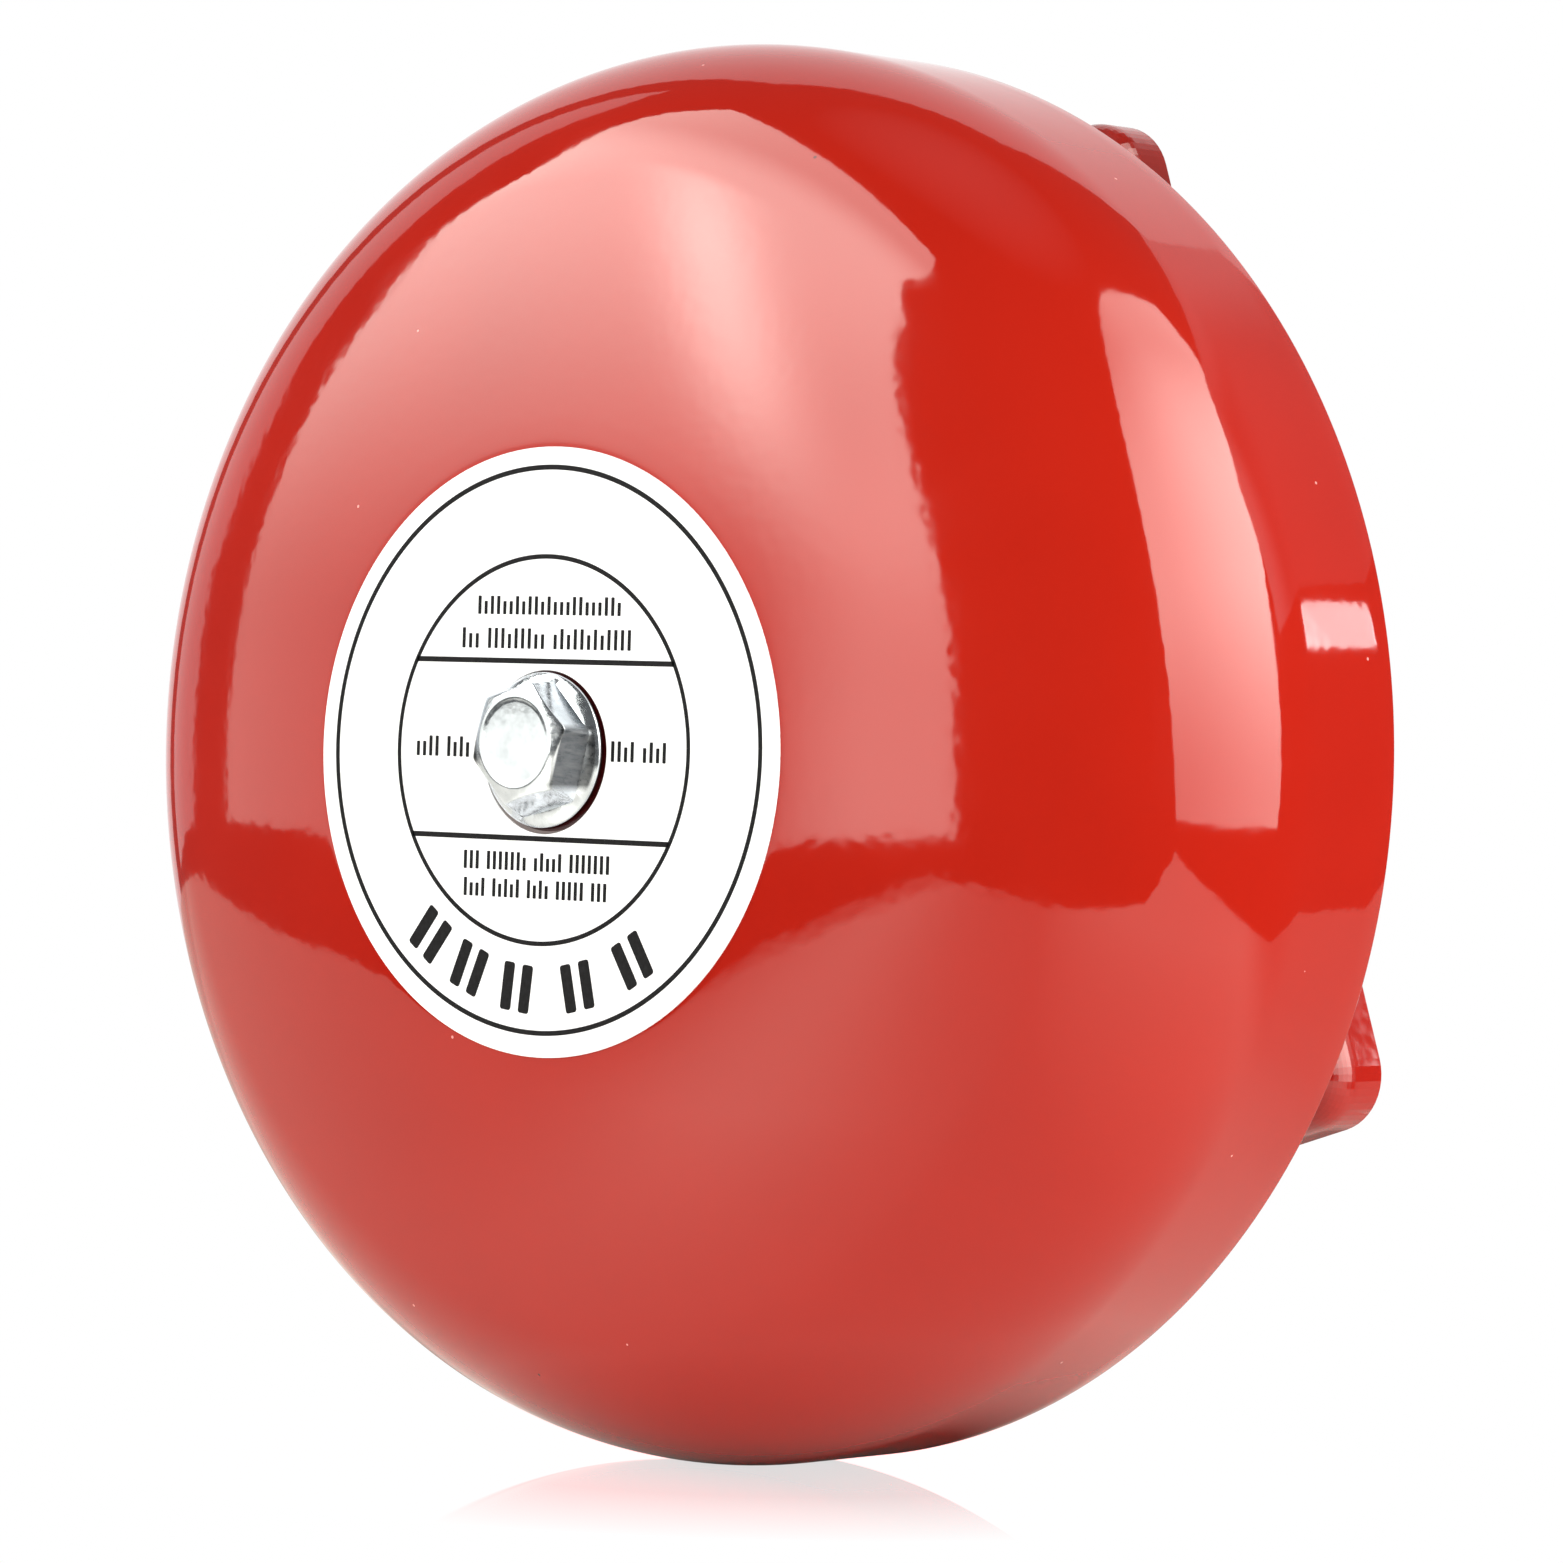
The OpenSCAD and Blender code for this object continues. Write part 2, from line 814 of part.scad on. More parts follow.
base_plate();
cable_grommet();
cover_gasket();
mechanism_cover();
cover_screws();
gong_post();
post_seal();
gong_pad();
gong();
gong_label();
gong_bolt();
motor_bracket();
bracket_screws();
motor_screws();
motor_can();
motor_magnet();
motor_bearing();
motor_end_cap();
motor_terminals();
motor_shaft();
motor_armature();
motor_pinion();
gear_axle();
gear_washer();
cam_gear();
axle_clip();
striker_rod();
striker_follower();
striker_tip();
return_spring();
guide_bush();
bush_nut();
striker_seal();
circuit_board();
board_screws();
terminal_block();
terminal_screws();
capacitor();
diode();
lead_red();
lead_black();
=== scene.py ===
import json
import math
import random

import bmesh
import bpy
from mathutils import Matrix, Vector


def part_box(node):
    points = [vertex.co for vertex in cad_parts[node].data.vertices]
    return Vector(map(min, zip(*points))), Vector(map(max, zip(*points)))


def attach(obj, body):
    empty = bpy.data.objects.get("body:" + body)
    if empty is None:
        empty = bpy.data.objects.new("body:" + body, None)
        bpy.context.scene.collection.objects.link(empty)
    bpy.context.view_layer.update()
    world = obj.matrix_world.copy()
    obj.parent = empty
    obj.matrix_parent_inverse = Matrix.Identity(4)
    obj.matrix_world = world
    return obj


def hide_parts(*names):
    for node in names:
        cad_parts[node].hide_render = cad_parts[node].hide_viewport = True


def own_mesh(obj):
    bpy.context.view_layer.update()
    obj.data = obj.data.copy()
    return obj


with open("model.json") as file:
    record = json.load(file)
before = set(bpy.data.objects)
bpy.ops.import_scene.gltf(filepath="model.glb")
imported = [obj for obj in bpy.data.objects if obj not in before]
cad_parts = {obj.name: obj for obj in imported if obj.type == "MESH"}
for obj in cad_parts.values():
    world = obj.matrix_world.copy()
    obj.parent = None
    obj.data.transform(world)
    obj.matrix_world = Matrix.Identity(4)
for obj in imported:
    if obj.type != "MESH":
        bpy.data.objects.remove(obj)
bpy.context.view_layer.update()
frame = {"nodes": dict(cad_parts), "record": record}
MM = 0.001


# ---------------------------------------------------------------- sizes from the frame

def node_box(node):
    """Lowest and highest corner of a CAD node, in millimetres."""
    low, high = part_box(node)
    return low / MM, high / MM


gong_low, gong_high = node_box("gong")
GONG_R = gong_high.x                       # outer radius at the rim
RIM_D = -gong_high.y                       # distances D are measured from the wall
SEAT_D = -gong_low.y                       # front of the gong's flat seat
CROWN_R = 168.4                            # radius of the shallow crown arc
SEAT_EDGE_R = 31.64                        # where the crown arc meets the flat seat
CROWN_C = SEAT_D - math.sqrt(CROWN_R ** 2 - SEAT_EDGE_R ** 2)   # distance of the crown arc's centre
SHOULDER_R = 23.5                          # radius of the shoulder arc
GONG_T = 1.5                               # sheet thickness
label_low, label_high = node_box("gong_label")
LABEL_R = label_high.x
LABEL_D = -label_low.y                     # front face of the label
LABEL_BACK_D = -label_high.y
LABEL_HOLE_R = 8.4
LABEL_CENTRE = (0.15, -0.2)                # the sticker sits a little off centre
FLAT_MID_R = 20                            # an extra ring of points on the flat seat and on the label
bolt_low, bolt_high = node_box("gong_bolt")
BOLT_TOP_D = -bolt_low.y
FLOOR_Z = gong_low.z * MM                  # the bell stands on the gong's rim


# ---------------------------------------------------------------- camera

def add_camera():
    turn, tilt, roll = math.radians(39.83), math.radians(0.52), math.radians(1.66)
    back = Vector((math.sin(turn) * math.cos(tilt), -math.cos(turn) * math.cos(tilt), math.sin(tilt)))
    right = Vector((math.cos(turn), math.sin(turn), 0))
    up = back.cross(right)
    right, up = (math.cos(roll) * right + math.sin(roll) * up,
                 math.cos(roll) * up - math.sin(roll) * right)
    data = bpy.data.cameras.new("camera")
    data.lens = 154.87
    data.sensor_width = 36
    data.clip_start, data.clip_end = 0.05, 20
    camera = bpy.data.objects.new("camera", data)
    bpy.context.scene.collection.objects.link(camera)
    camera.matrix_world = (Matrix.Translation((0.45988, -0.56769, 0.00375))
                           @ Matrix((right, up, back)).transposed().to_4x4())
    bpy.context.scene.camera = camera


# ---------------------------------------------------------------- node material helpers

class Shader:
    """A Principled material with a few helpers for its procedural parts."""

    def __init__(self, name, colour, roughness, metallic=0.0, **sockets):
        self.material = bpy.data.materials.new(name)
        self.material.use_nodes = True
        self.tree = self.material.node_tree
        self.bsdf = self.tree.nodes["Principled BSDF"]
        self.set(**{"Base Color": (*colour, 1), "Roughness": roughness, "Metallic": metallic})
        self.set(**{key.replace("_", " "): value for key, value in sockets.items()})
        self.coords = self.add("ShaderNodeTexCoord").outputs["Object"]
        self.height = None

    def set(self, **values):
        for key, value in values.items():
            self.bsdf.inputs[key].default_value = value

    def add(self, kind, **settings):
        node = self.tree.nodes.new(kind)
        for key, value in settings.items():
            setattr(node, key, value)
        return node

    def link(self, source, target):
        self.tree.links.new(source, target)

    def stretched(self, scale):
        """Object coordinates scaled per axis, so a grain can run one way."""
        mapping = self.add("ShaderNodeMapping")
        mapping.inputs["Scale"].default_value = scale
        self.link(self.coords, mapping.inputs["Vector"])
        return mapping.outputs["Vector"]

    def noise(self, size_mm, detail=3.0, stretch=(1, 1, 1), rough=0.55):
        """Noise whose features are about size_mm across."""
        node = self.add("ShaderNodeTexNoise")
        node.inputs["Scale"].default_value = 1 / (size_mm * MM)
        node.inputs["Detail"].default_value = detail
        node.inputs["Roughness"].default_value = rough
        self.link(self.stretched(stretch) if stretch != (1, 1, 1) else self.coords, node.inputs["Vector"])
        return node.outputs["Fac"]

    def spots(self, cell_mm, radius_mm):
        """1 inside round spots, one in each cell of the volume, so few of them reach the surface."""
        cells = self.add("ShaderNodeTexVoronoi")
        cells.inputs["Scale"].default_value = 1 / (cell_mm * MM)
        self.link(self.coords, cells.inputs["Vector"])
        return self.math("LESS_THAN", cells.outputs["Distance"], radius_mm / cell_mm)

    def math(self, operation, a, b=0.0):
        node = self.add("ShaderNodeMath", operation=operation)
        for socket, value in zip(node.inputs, (a, b)):
            if isinstance(value, (int, float)):
                socket.default_value = value
            else:
                self.link(value, socket)
        return node.outputs["Value"]

    def ranged(self, value, low, high, start=0.3, end=0.7):
        node = self.add("ShaderNodeMapRange")
        for key, number in (("From Min", start), ("From Max", end), ("To Min", low), ("To Max", high)):
            node.inputs[key].default_value = number
        self.link(value, node.inputs["Value"])
        return node.outputs["Result"]

    def mixed(self, factor, a, b):
        """Colour between a and b; each is a colour or a socket."""
        node = self.add("ShaderNodeMix", data_type="RGBA")
        self.link(factor, node.inputs[0])
        for socket, value in ((node.inputs[6], a), (node.inputs[7], b)):
            if isinstance(value, tuple):
                socket.default_value = (*value, 1)
            else:
                self.link(value, socket)
        return node.outputs[2]

    def colour(self, source):
        self.link(source, self.bsdf.inputs["Base Color"])

    def roughness(self, source):
        self.link(source, self.bsdf.inputs["Roughness"])

    def bump(self, height, depth_mm):
        """Adds relief: height 0 to 1 stands depth_mm proud. Calls stack up."""
        node = self.add("ShaderNodeBump")
        node.inputs["Distance"].default_value = depth_mm * MM
        self.link(height, node.inputs["Height"])
        if self.height:
            self.link(self.height, node.inputs["Normal"])
        self.height = node.outputs["Normal"]
        self.link(self.height, self.bsdf.inputs["Normal"])


# ---------------------------------------------------------------- materials, one per slot

def enamel(name, deep, bright, peel_mm, wave_mm, rough):
    """Gloss red paint: orange peel, slow colour drift, a few dust specks and pits."""
    s = Shader(name, bright, rough, IOR=1.5)
    body = s.mixed(s.ranged(s.noise(38, 2), 0, 1), deep, bright)
    dust = s.spots(8.0, 0.17)
    pits = s.spots(13, 0.2)
    body = s.mixed(dust, body, (0.80, 0.30, 0.26))
    s.colour(s.mixed(pits, body, (0.09, 0.003, 0.002)))
    fine = s.ranged(s.noise(9, 4), rough * 0.75, rough * 1.35)
    s.roughness(s.math("ADD", fine, s.math("MULTIPLY", dust, 0.3)))
    s.bump(s.noise(9.0, 1), wave_mm)
    s.bump(s.noise(1.3, 0), peel_mm)
    s.bump(dust, 0.02)
    return s


def gong_enamel():
    """The gong's paint, with painted shade: near black in the narrow gap between the bolt and the label.
    """
    s = enamel("gong_enamel", (0.335, 0.0078, 0.0019), (0.37, 0.0098, 0.0026), 0.005, 0.006, 0.05)
    away = s.add("ShaderNodeVectorMath", operation="MULTIPLY")
    away.inputs[1].default_value = (1, 0, 1)
    s.link(s.coords, away.inputs[0])
    length = s.add("ShaderNodeVectorMath", operation="LENGTH")
    s.link(away.outputs["Vector"], length.inputs[0])
    # painted shade: the paint turns near black where the gap round the bolt lies in shade
    clear_of_painted_light = s.ranged(length.outputs["Value"], 0, 1, (LABEL_HOLE_R + 0.4) * MM, (LABEL_HOLE_R + 1.0) * MM)
    paint = s.bsdf.inputs["Base Color"].links[0].from_socket
    s.colour(s.mixed(clear_of_painted_light, (0.03, 0.002, 0.002), paint))
    return s.material


def base_enamel():
    """The base's paint, with painted shade darkening its upper right corner."""
    s = enamel("base_paint", (0.29, 0.0055, 0.0018), (0.34, 0.0080, 0.0026), 0.02, 0.03, 0.13)
    split = s.add("ShaderNodeSeparateXYZ")
    s.link(s.coords, split.inputs[0])
    x, z = split.outputs["X"], split.outputs["Z"]
    # painted shade: the upper right corner is darkened, near black toward its far right edge
    corner = s.math("MULTIPLY", s.ranged(x, 0, 1, 0.012, 0.026), s.ranged(z, 0, 1, 0.050, 0.060))
    corner = s.math("MULTIPLY", corner, s.ranged(s.noise(4, 4), 0.8, 1.0))
    painted_shade = s.mixed(s.ranged(x, 0, 1, 0.034, 0.041), (0.24, 0.006, 0.002), (0.03, 0.003, 0.001))
    paint = s.bsdf.inputs["Base Color"].links[0].from_socket
    s.colour(s.mixed(corner, paint, painted_shade))
    return s.material


def label_vinyl():
    s = Shader("label_vinyl", (0.93, 0.93, 0.92), 0.32, IOR=1.46)
    s.colour(s.mixed(s.ranged(s.noise(14, 3), 0, 1), (0.90, 0.90, 0.89), (0.95, 0.95, 0.94)))
    s.roughness(s.ranged(s.noise(3.5, 4), 0.26, 0.40))
    s.bump(s.noise(0.9, 3), 0.003)
    return s.material


def label_ink():
    s = Shader("label_ink", (0.006, 0.006, 0.007), 0.55, Specular_IOR_Level=0.1)
    s.colour(s.mixed(s.ranged(s.noise(0.5, 4), 0, 1), (0.003, 0.003, 0.003), (0.009, 0.009, 0.010)))
    s.roughness(s.ranged(s.noise(1.2, 3), 0.48, 0.64))
    return s.material


def zinc():
    """Bright zinc plating: soft cloudy bands, fine scratches and a faint blue tint."""
    s = Shader("zinc_plate", (0.62, 0.63, 0.64), 0.18, metallic=1.0)
    s.colour(s.mixed(s.ranged(s.noise(2.6, 3), 0, 1), (0.58, 0.60, 0.62), (0.80, 0.80, 0.79)))
    scratch = s.noise(0.35, 2, stretch=(1, 1, 0.12))
    s.roughness(s.ranged(scratch, 0.13, 0.27))
    s.bump(s.noise(2.4, 2), 0.03)
    s.bump(scratch, 0.002)
    return s.material


def head_zinc():
    """The bolt head's plating, with a painted dull grey reflection on its right flank and a painted dark
    one on the left.

    Ramps over X and Z bound the two painted reflections, and the grey one keeps off the top and the
    flange too.
    """
    s = Shader("zinc_with_painted_reflections", (0.62, 0.63, 0.64), 0.18, metallic=1.0)
    split = s.add("ShaderNodeSeparateXYZ")
    s.link(s.coords, split.inputs[0])
    x, y, z = split.outputs["X"], split.outputs["Y"], split.outputs["Z"]
    behind = s.ranged(y, 0, 1, -(BOLT_TOP_D - 0.35) * MM, -(BOLT_TOP_D - 0.6) * MM)
    above = s.ranged(y, 1, 0, -(SEAT_D + 0.9) * MM, -(SEAT_D + 0.7) * MM)
    # painted reflections: a dull grey patch on the right flank and a dark patch on the left
    grey_painted_reflection = s.math("MULTIPLY", s.ranged(x, 0, 1, 0.0040, 0.0044), s.ranged(z, 1, 0, 0.0022, 0.0028))
    grey_painted_reflection = s.math("MULTIPLY", grey_painted_reflection, s.ranged(z, 0, 1, -0.0042, -0.0034))
    grey_painted_reflection = s.math("MULTIPLY", s.math("MULTIPLY", grey_painted_reflection, behind), above)
    dark_painted_reflection = s.math("MULTIPLY", s.ranged(x, 1, 0, -0.0056, -0.0050), s.ranged(z, 1, 0, 0.0020, 0.0030))
    dark_painted_reflection = s.math("MULTIPLY", dark_painted_reflection, s.ranged(z, 0, 1, -0.0030, -0.0022))
    streaks = s.noise(0.5, 2, stretch=(1, 0.2, 1))
    clear_of_painted_light = s.mixed(s.ranged(s.noise(2.6, 3), 0, 1), (0.56, 0.61, 0.65), (0.77, 0.82, 0.87))
    grey_reflection_colour = s.mixed(s.ranged(streaks, 0, 1), (0.10, 0.11, 0.12), (0.17, 0.18, 0.19))
    dark_reflection_colour = s.mixed(s.ranged(streaks, 0, 1), (0.01, 0.012, 0.012), (0.06, 0.07, 0.07))
    s.colour(s.mixed(dark_painted_reflection, s.mixed(grey_painted_reflection, clear_of_painted_light, grey_reflection_colour), dark_reflection_colour))
    s.roughness(s.math("ADD", s.ranged(streaks, 0.12, 0.22), s.math("MULTIPLY", grey_painted_reflection, 0.12)))
    s.bump(s.noise(2.2, 2), 0.04)
    s.bump(streaks, 0.004)
    return s.material


def steel():
    s = Shader("worked_steel", (0.60, 0.60, 0.61), 0.3, metallic=1.0)
    s.colour(s.mixed(s.ranged(s.noise(5, 4), 0, 1), (0.48, 0.48, 0.49), (0.68, 0.68, 0.68)))
    grain = s.noise(0.25, 2, stretch=(0.08, 1, 1))
    s.roughness(s.ranged(grain, 0.24, 0.44))
    s.bump(grain, 0.003)
    return s.material


def spring_steel():
    s = Shader("spring_wire", (0.42, 0.42, 0.44), 0.28, metallic=1.0)
    s.colour(s.mixed(s.ranged(s.noise(1.5, 3), 0, 1), (0.32, 0.32, 0.34), (0.52, 0.52, 0.53)))
    s.roughness(s.ranged(s.noise(0.4, 3), 0.20, 0.38))
    s.bump(s.noise(0.2, 2), 0.002)
    return s.material


def black_plastic():
    """Moulded housing with a fine spark texture."""
    s = Shader("black_moulding", (0.018, 0.018, 0.02), 0.5)
    s.colour(s.mixed(s.ranged(s.noise(8, 4), 0, 1), (0.014, 0.014, 0.016), (0.028, 0.028, 0.030)))
    s.roughness(s.ranged(s.noise(2.5, 4), 0.42, 0.60))
    s.bump(s.noise(0.35, 3, rough=0.7), 0.012)
    return s.material


def rubber():
    s = Shader("moulded_rubber", (0.014, 0.014, 0.014), 0.72, Specular_IOR_Level=0.35)
    s.colour(s.mixed(s.ranged(s.noise(3, 4), 0, 1), (0.010, 0.010, 0.010), (0.026, 0.025, 0.024)))
    s.roughness(s.ranged(s.noise(1.1, 4), 0.60, 0.85))
    s.bump(s.noise(0.5, 4), 0.008)
    return s.material


def brass():
    s = Shader("turned_brass", (0.72, 0.47, 0.16), 0.25, metallic=1.0)
    s.colour(s.mixed(s.ranged(s.noise(3, 4), 0, 1), (0.55, 0.33, 0.10), (0.80, 0.56, 0.22)))
    rings = s.noise(0.2, 2, stretch=(0.1, 0.1, 1))
    s.roughness(s.ranged(rings, 0.18, 0.36))
    s.bump(rings, 0.003)
    return s.material


def nylon():
    s = Shader("natural_nylon", (0.78, 0.74, 0.62), 0.42, Subsurface_Weight=0.15)
    s.set(**{"Subsurface Radius": (0.002, 0.0016, 0.001), "Subsurface Scale": 1.0})
    s.colour(s.mixed(s.ranged(s.noise(4, 4), 0, 1), (0.70, 0.66, 0.53), (0.83, 0.79, 0.68)))
    s.roughness(s.ranged(s.noise(1.6, 3), 0.34, 0.52))
    s.bump(s.noise(0.4, 3), 0.004)
    return s.material


def ferrite():
    s = Shader("ferrite", (0.05, 0.05, 0.052), 0.65)
    s.colour(s.mixed(s.ranged(s.noise(0.4, 5), 0, 1), (0.035, 0.034, 0.036), (0.085, 0.083, 0.085)))
    s.roughness(s.ranged(s.noise(0.8, 4), 0.52, 0.78))
    s.bump(s.noise(0.3, 4), 0.012)
    return s.material


def laminations():
    s = Shader("laminated_core", (0.30, 0.30, 0.31), 0.42, metallic=1.0)
    sheets = s.noise(0.35, 1, stretch=(0.02, 1, 0.02))
    s.colour(s.mixed(s.ranged(sheets, 0, 1, 0.42, 0.58), (0.12, 0.12, 0.13), (0.42, 0.41, 0.40)))
    s.roughness(s.ranged(sheets, 0.34, 0.58))
    s.bump(sheets, 0.02)
    return s.material


def enamelled_copper():
    s = Shader("enamelled_copper", (0.55, 0.20, 0.07), 0.24, metallic=1.0)
    s.colour(s.mixed(s.ranged(s.noise(0.6, 3), 0, 1), (0.38, 0.11, 0.035), (0.66, 0.27, 0.10)))
    s.roughness(s.ranged(s.noise(0.5, 3), 0.18, 0.34))
    s.bump(s.noise(0.22, 1), 0.02)
    return s.material


def solder_mask():
    """Green circuit board: tracks stand a little proud under the lacquer."""
    s = Shader("solder_mask", (0.01, 0.09, 0.035), 0.22)
    tracks = s.add("ShaderNodeTexBrick", offset=0.37)
    tracks.inputs["Scale"].default_value = 260
    tracks.inputs["Mortar Size"].default_value = 0.11
    swap = s.add("ShaderNodeMapping")
    swap.inputs["Rotation"].default_value = (math.radians(90), 0, 0)
    s.link(s.coords, swap.inputs["Vector"])
    s.link(swap.outputs["Vector"], tracks.inputs["Vector"])
    copper = tracks.outputs["Fac"]
    base = s.mixed(s.ranged(s.noise(2.5, 4), 0, 1), (0.008, 0.075, 0.030), (0.014, 0.105, 0.045))
    s.colour(s.mixed(copper, base, (0.03, 0.19, 0.07)))
    s.roughness(s.ranged(s.noise(1.2, 3), 0.16, 0.34))
    s.bump(copper, 0.03)
    s.bump(s.noise(0.3, 3), 0.004)
    return s.material


def terminal_plastic():
    s = Shader("terminal_moulding", (0.02, 0.20, 0.07), 0.42)
    s.colour(s.mixed(s.ranged(s.noise(3, 4), 0, 1), (0.016, 0.17, 0.055), (0.03, 0.24, 0.09)))
    s.roughness(s.ranged(s.noise(1.3, 4), 0.34, 0.54))
    s.bump(s.noise(0.3, 3), 0.006)
    return s.material


def sleeve():
    s = Shader("shrink_sleeve", (0.012, 0.022, 0.11), 0.28)
    s.colour(s.mixed(s.ranged(s.noise(2, 3), 0, 1), (0.010, 0.018, 0.09), (0.018, 0.030, 0.14)))
    s.roughness(s.ranged(s.noise(1.5, 3), 0.20, 0.38))
    s.bump(s.noise(1.2, 2), 0.015)
    return s.material


def aluminium():
    s = Shader("can_aluminium", (0.70, 0.70, 0.70), 0.3, metallic=1.0)
    s.colour(s.mixed(s.ranged(s.noise(1.5, 4), 0, 1), (0.60, 0.60, 0.61), (0.78, 0.78, 0.78)))
    s.roughness(s.ranged(s.noise(0.6, 3), 0.24, 0.42))
    s.bump(s.noise(0.3, 3), 0.003)
    return s.material


def epoxy():
    s = Shader("moulded_epoxy", (0.02, 0.02, 0.021), 0.45)
    s.colour(s.mixed(s.ranged(s.noise(1.2, 4), 0, 1), (0.015, 0.015, 0.016), (0.030, 0.030, 0.031)))
    s.roughness(s.ranged(s.noise(0.7, 3), 0.36, 0.56))
    s.bump(s.noise(0.2, 3), 0.005)
    return s.material


def wire(name, low, high):
    s = Shader(name, high, 0.35)
    s.colour(s.mixed(s.ranged(s.noise(3, 3), 0, 1), low, high))
    s.roughness(s.ranged(s.noise(0.9, 3), 0.28, 0.46))
    s.bump(s.noise(0.7, 3), 0.006)
    return s.material


def make_materials():
    return {
        "gong_enamel": gong_enamel(),
        "base_paint": base_enamel(),
        "label": label_vinyl(),
        "ink": label_ink(),
        "zinc": zinc(),
        "head_zinc": head_zinc(),
        "steel": steel(),
        "spring": spring_steel(),
        "black_plastic": black_plastic(),
        "rubber": rubber(),
        "brass": brass(),
        "nylon": nylon(),
        "ferrite": ferrite(),
        "armature": laminations(),
        "copper": enamelled_copper(),
        "board": solder_mask(),
        "terminal_green": terminal_plastic(),
        "capacitor_sleeve": sleeve(),
        "aluminium": aluminium(),
        "diode_black": epoxy(),
        "wire_red": wire("wire_red", (0.42, 0.012, 0.010), (0.52, 0.020, 0.014)),
        "wire_black": wire("wire_black", (0.010, 0.010, 0.010), (0.020, 0.020, 0.020)),
    }


# ---------------------------------------------------------------- mesh helpers

TO_FRONT = Matrix.Rotation(math.radians(90), 4, "X")   # local +Z becomes -Y, local +Y becomes +Z


def finished(name, bm, matrix, materials, sharp_deg=40):
    """Turns a bmesh in millimetres into a smooth-shaded object in metres, placed by matrix."""
    bmesh.ops.recalc_face_normals(bm, faces=bm.faces)
    bm.transform(Matrix.Scale(MM, 4) @ matrix)
    mesh = bpy.data.meshes.new(name)
    bm.to_mesh(mesh)
    bm.free()
    mesh.shade_smooth()
    mesh.set_sharp_from_angle(angle=math.radians(sharp_deg))
    for material in materials:
        mesh.materials.append(material)
    piece = bpy.data.objects.new(name, mesh)
    bpy.context.scene.collection.objects.link(piece)
    return piece


def skin(bm, rings, closed=False, material=0):
    """Joins rings of points, each with the same count or a single point, into one surface."""
    made = [[bm.verts.new(p) for p in ring] for ring in rings]
    pairs = list(zip(made, made[1:])) + ([(made[-1], made[0])] if closed else [])
    count = max(len(ring) for ring in rings)
    for a, b in pairs:
        for k in range(count):
            j = (k + 1) % count
            corners = [a[k % len(a)], a[j % len(a)], b[j % len(b)], b[k % len(b)]]
            corners = list(dict.fromkeys(corners))
            if len(corners) > 2:
                bm.faces.new(corners).material_index = material


def ring_points(radius, height, steps, centre=(0, 0)):
    """Circle of points at a height; radius is a number or a function of the angle."""
    points = []
    for k in range(steps):
        a = 2 * math.pi * k / steps
        r = radius(a) if callable(radius) else radius
        points.append((centre[0] + r * math.cos(a), centre[1] + r * math.sin(a), height))
    return points


def turned(bm, profile, steps, closed=False, centre=(0, 0), material=0):
    """Revolves a profile of (radius, height); a radius of 0 closes it in a point."""
    rings = [[(*centre, h)] if r == 0 else ring_points(r, h, steps, centre) for r, h in profile]
    skin(bm, rings, closed, material)


def arc(centre, radius, start_deg, end_deg, steps):
    """Points of an arc in (radius, height), end points included."""
    angles = [math.radians(start_deg + (end_deg - start_deg) * k / steps) for k in range(steps + 1)]
    return [(centre[0] + radius * math.cos(a), centre[1] + radius * math.sin(a)) for a in angles]


def place(piece, body, slot, *nodes):
    """Lets a piece ride on its body and stand for its CAD nodes."""
    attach(piece, body)
    if nodes:
        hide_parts(*nodes)
    return piece


# ---------------------------------------------------------------- gong

def dome_profile(inset):
    """Outline of the dome from its seat to the end of its shoulder, `inset` inside the outer face."""
    seat = SEAT_D - inset
    crown = CROWN_R - inset
    shoulder = SHOULDER_R - inset
    shoulder_c = GONG_R - SHOULDER_R
    reach = CROWN_R - SHOULDER_R
    tangent = math.degrees(math.acos(shoulder_c / reach))
    blend_end = SEAT_EDGE_R + 2.4
    blend_deg = math.degrees(math.acos(blend_end / CROWN_R))
    start, middle = (LABEL_R + 0.1, seat), (SEAT_EDGE_R, seat)
    points = []
    crown_arc = arc((0, CROWN_C), crown, blend_deg, tangent, 40)
    end = crown_arc[0]
    for k in range(9):
        t = k / 8
        points.append(tuple((1 - t) ** 2 * a + 2 * t * (1 - t) * b + t * t * c
                            for a, b, c in zip(start, middle, end)))
    skirt_d = CROWN_C + math.sqrt(reach ** 2 - shoulder_c ** 2)
    return points + crown_arc[1:] + arc((shoulder_c, skirt_d), shoulder, tangent, 0, 44)[1:]


def make_gong(m):
    hole_r = 4.0
    edge = 0.55                                # radius of the rim's rounded edges
    seat_back = SEAT_D - GONG_T
    outer = dome_profile(0)
    inner = dome_profile(GONG_T)
    profile = [(hole_r, seat_back + 0.1), (hole_r, SEAT_D - 0.2), (hole_r + 0.2, SEAT_D),
               (FLAT_MID_R, SEAT_D)]
    profile += outer
    profile += [(GONG_R, RIM_D + 8), (GONG_R, RIM_D + 3)]
    profile += arc((GONG_R - edge, RIM_D + edge), edge, 0, -90, 5)
    profile += arc((GONG_R - GONG_T + edge, RIM_D + edge), edge, -90, -180, 5)
    profile += [(GONG_R - GONG_T, RIM_D + 3)]
    profile += inner[::-1]
    profile += [(FLAT_MID_R, seat_back)]
    bm = bmesh.new()
    turned(bm, profile, 288, closed=True)
    piece = finished("gong_dome", bm, TO_FRONT, [m["gong_enamel"]], sharp_deg=70)
    return place(piece, "housing", "gong_enamel", "gong")


# ---------------------------------------------------------------- label

INK_T = 0.03                                # thickness of the printed ink


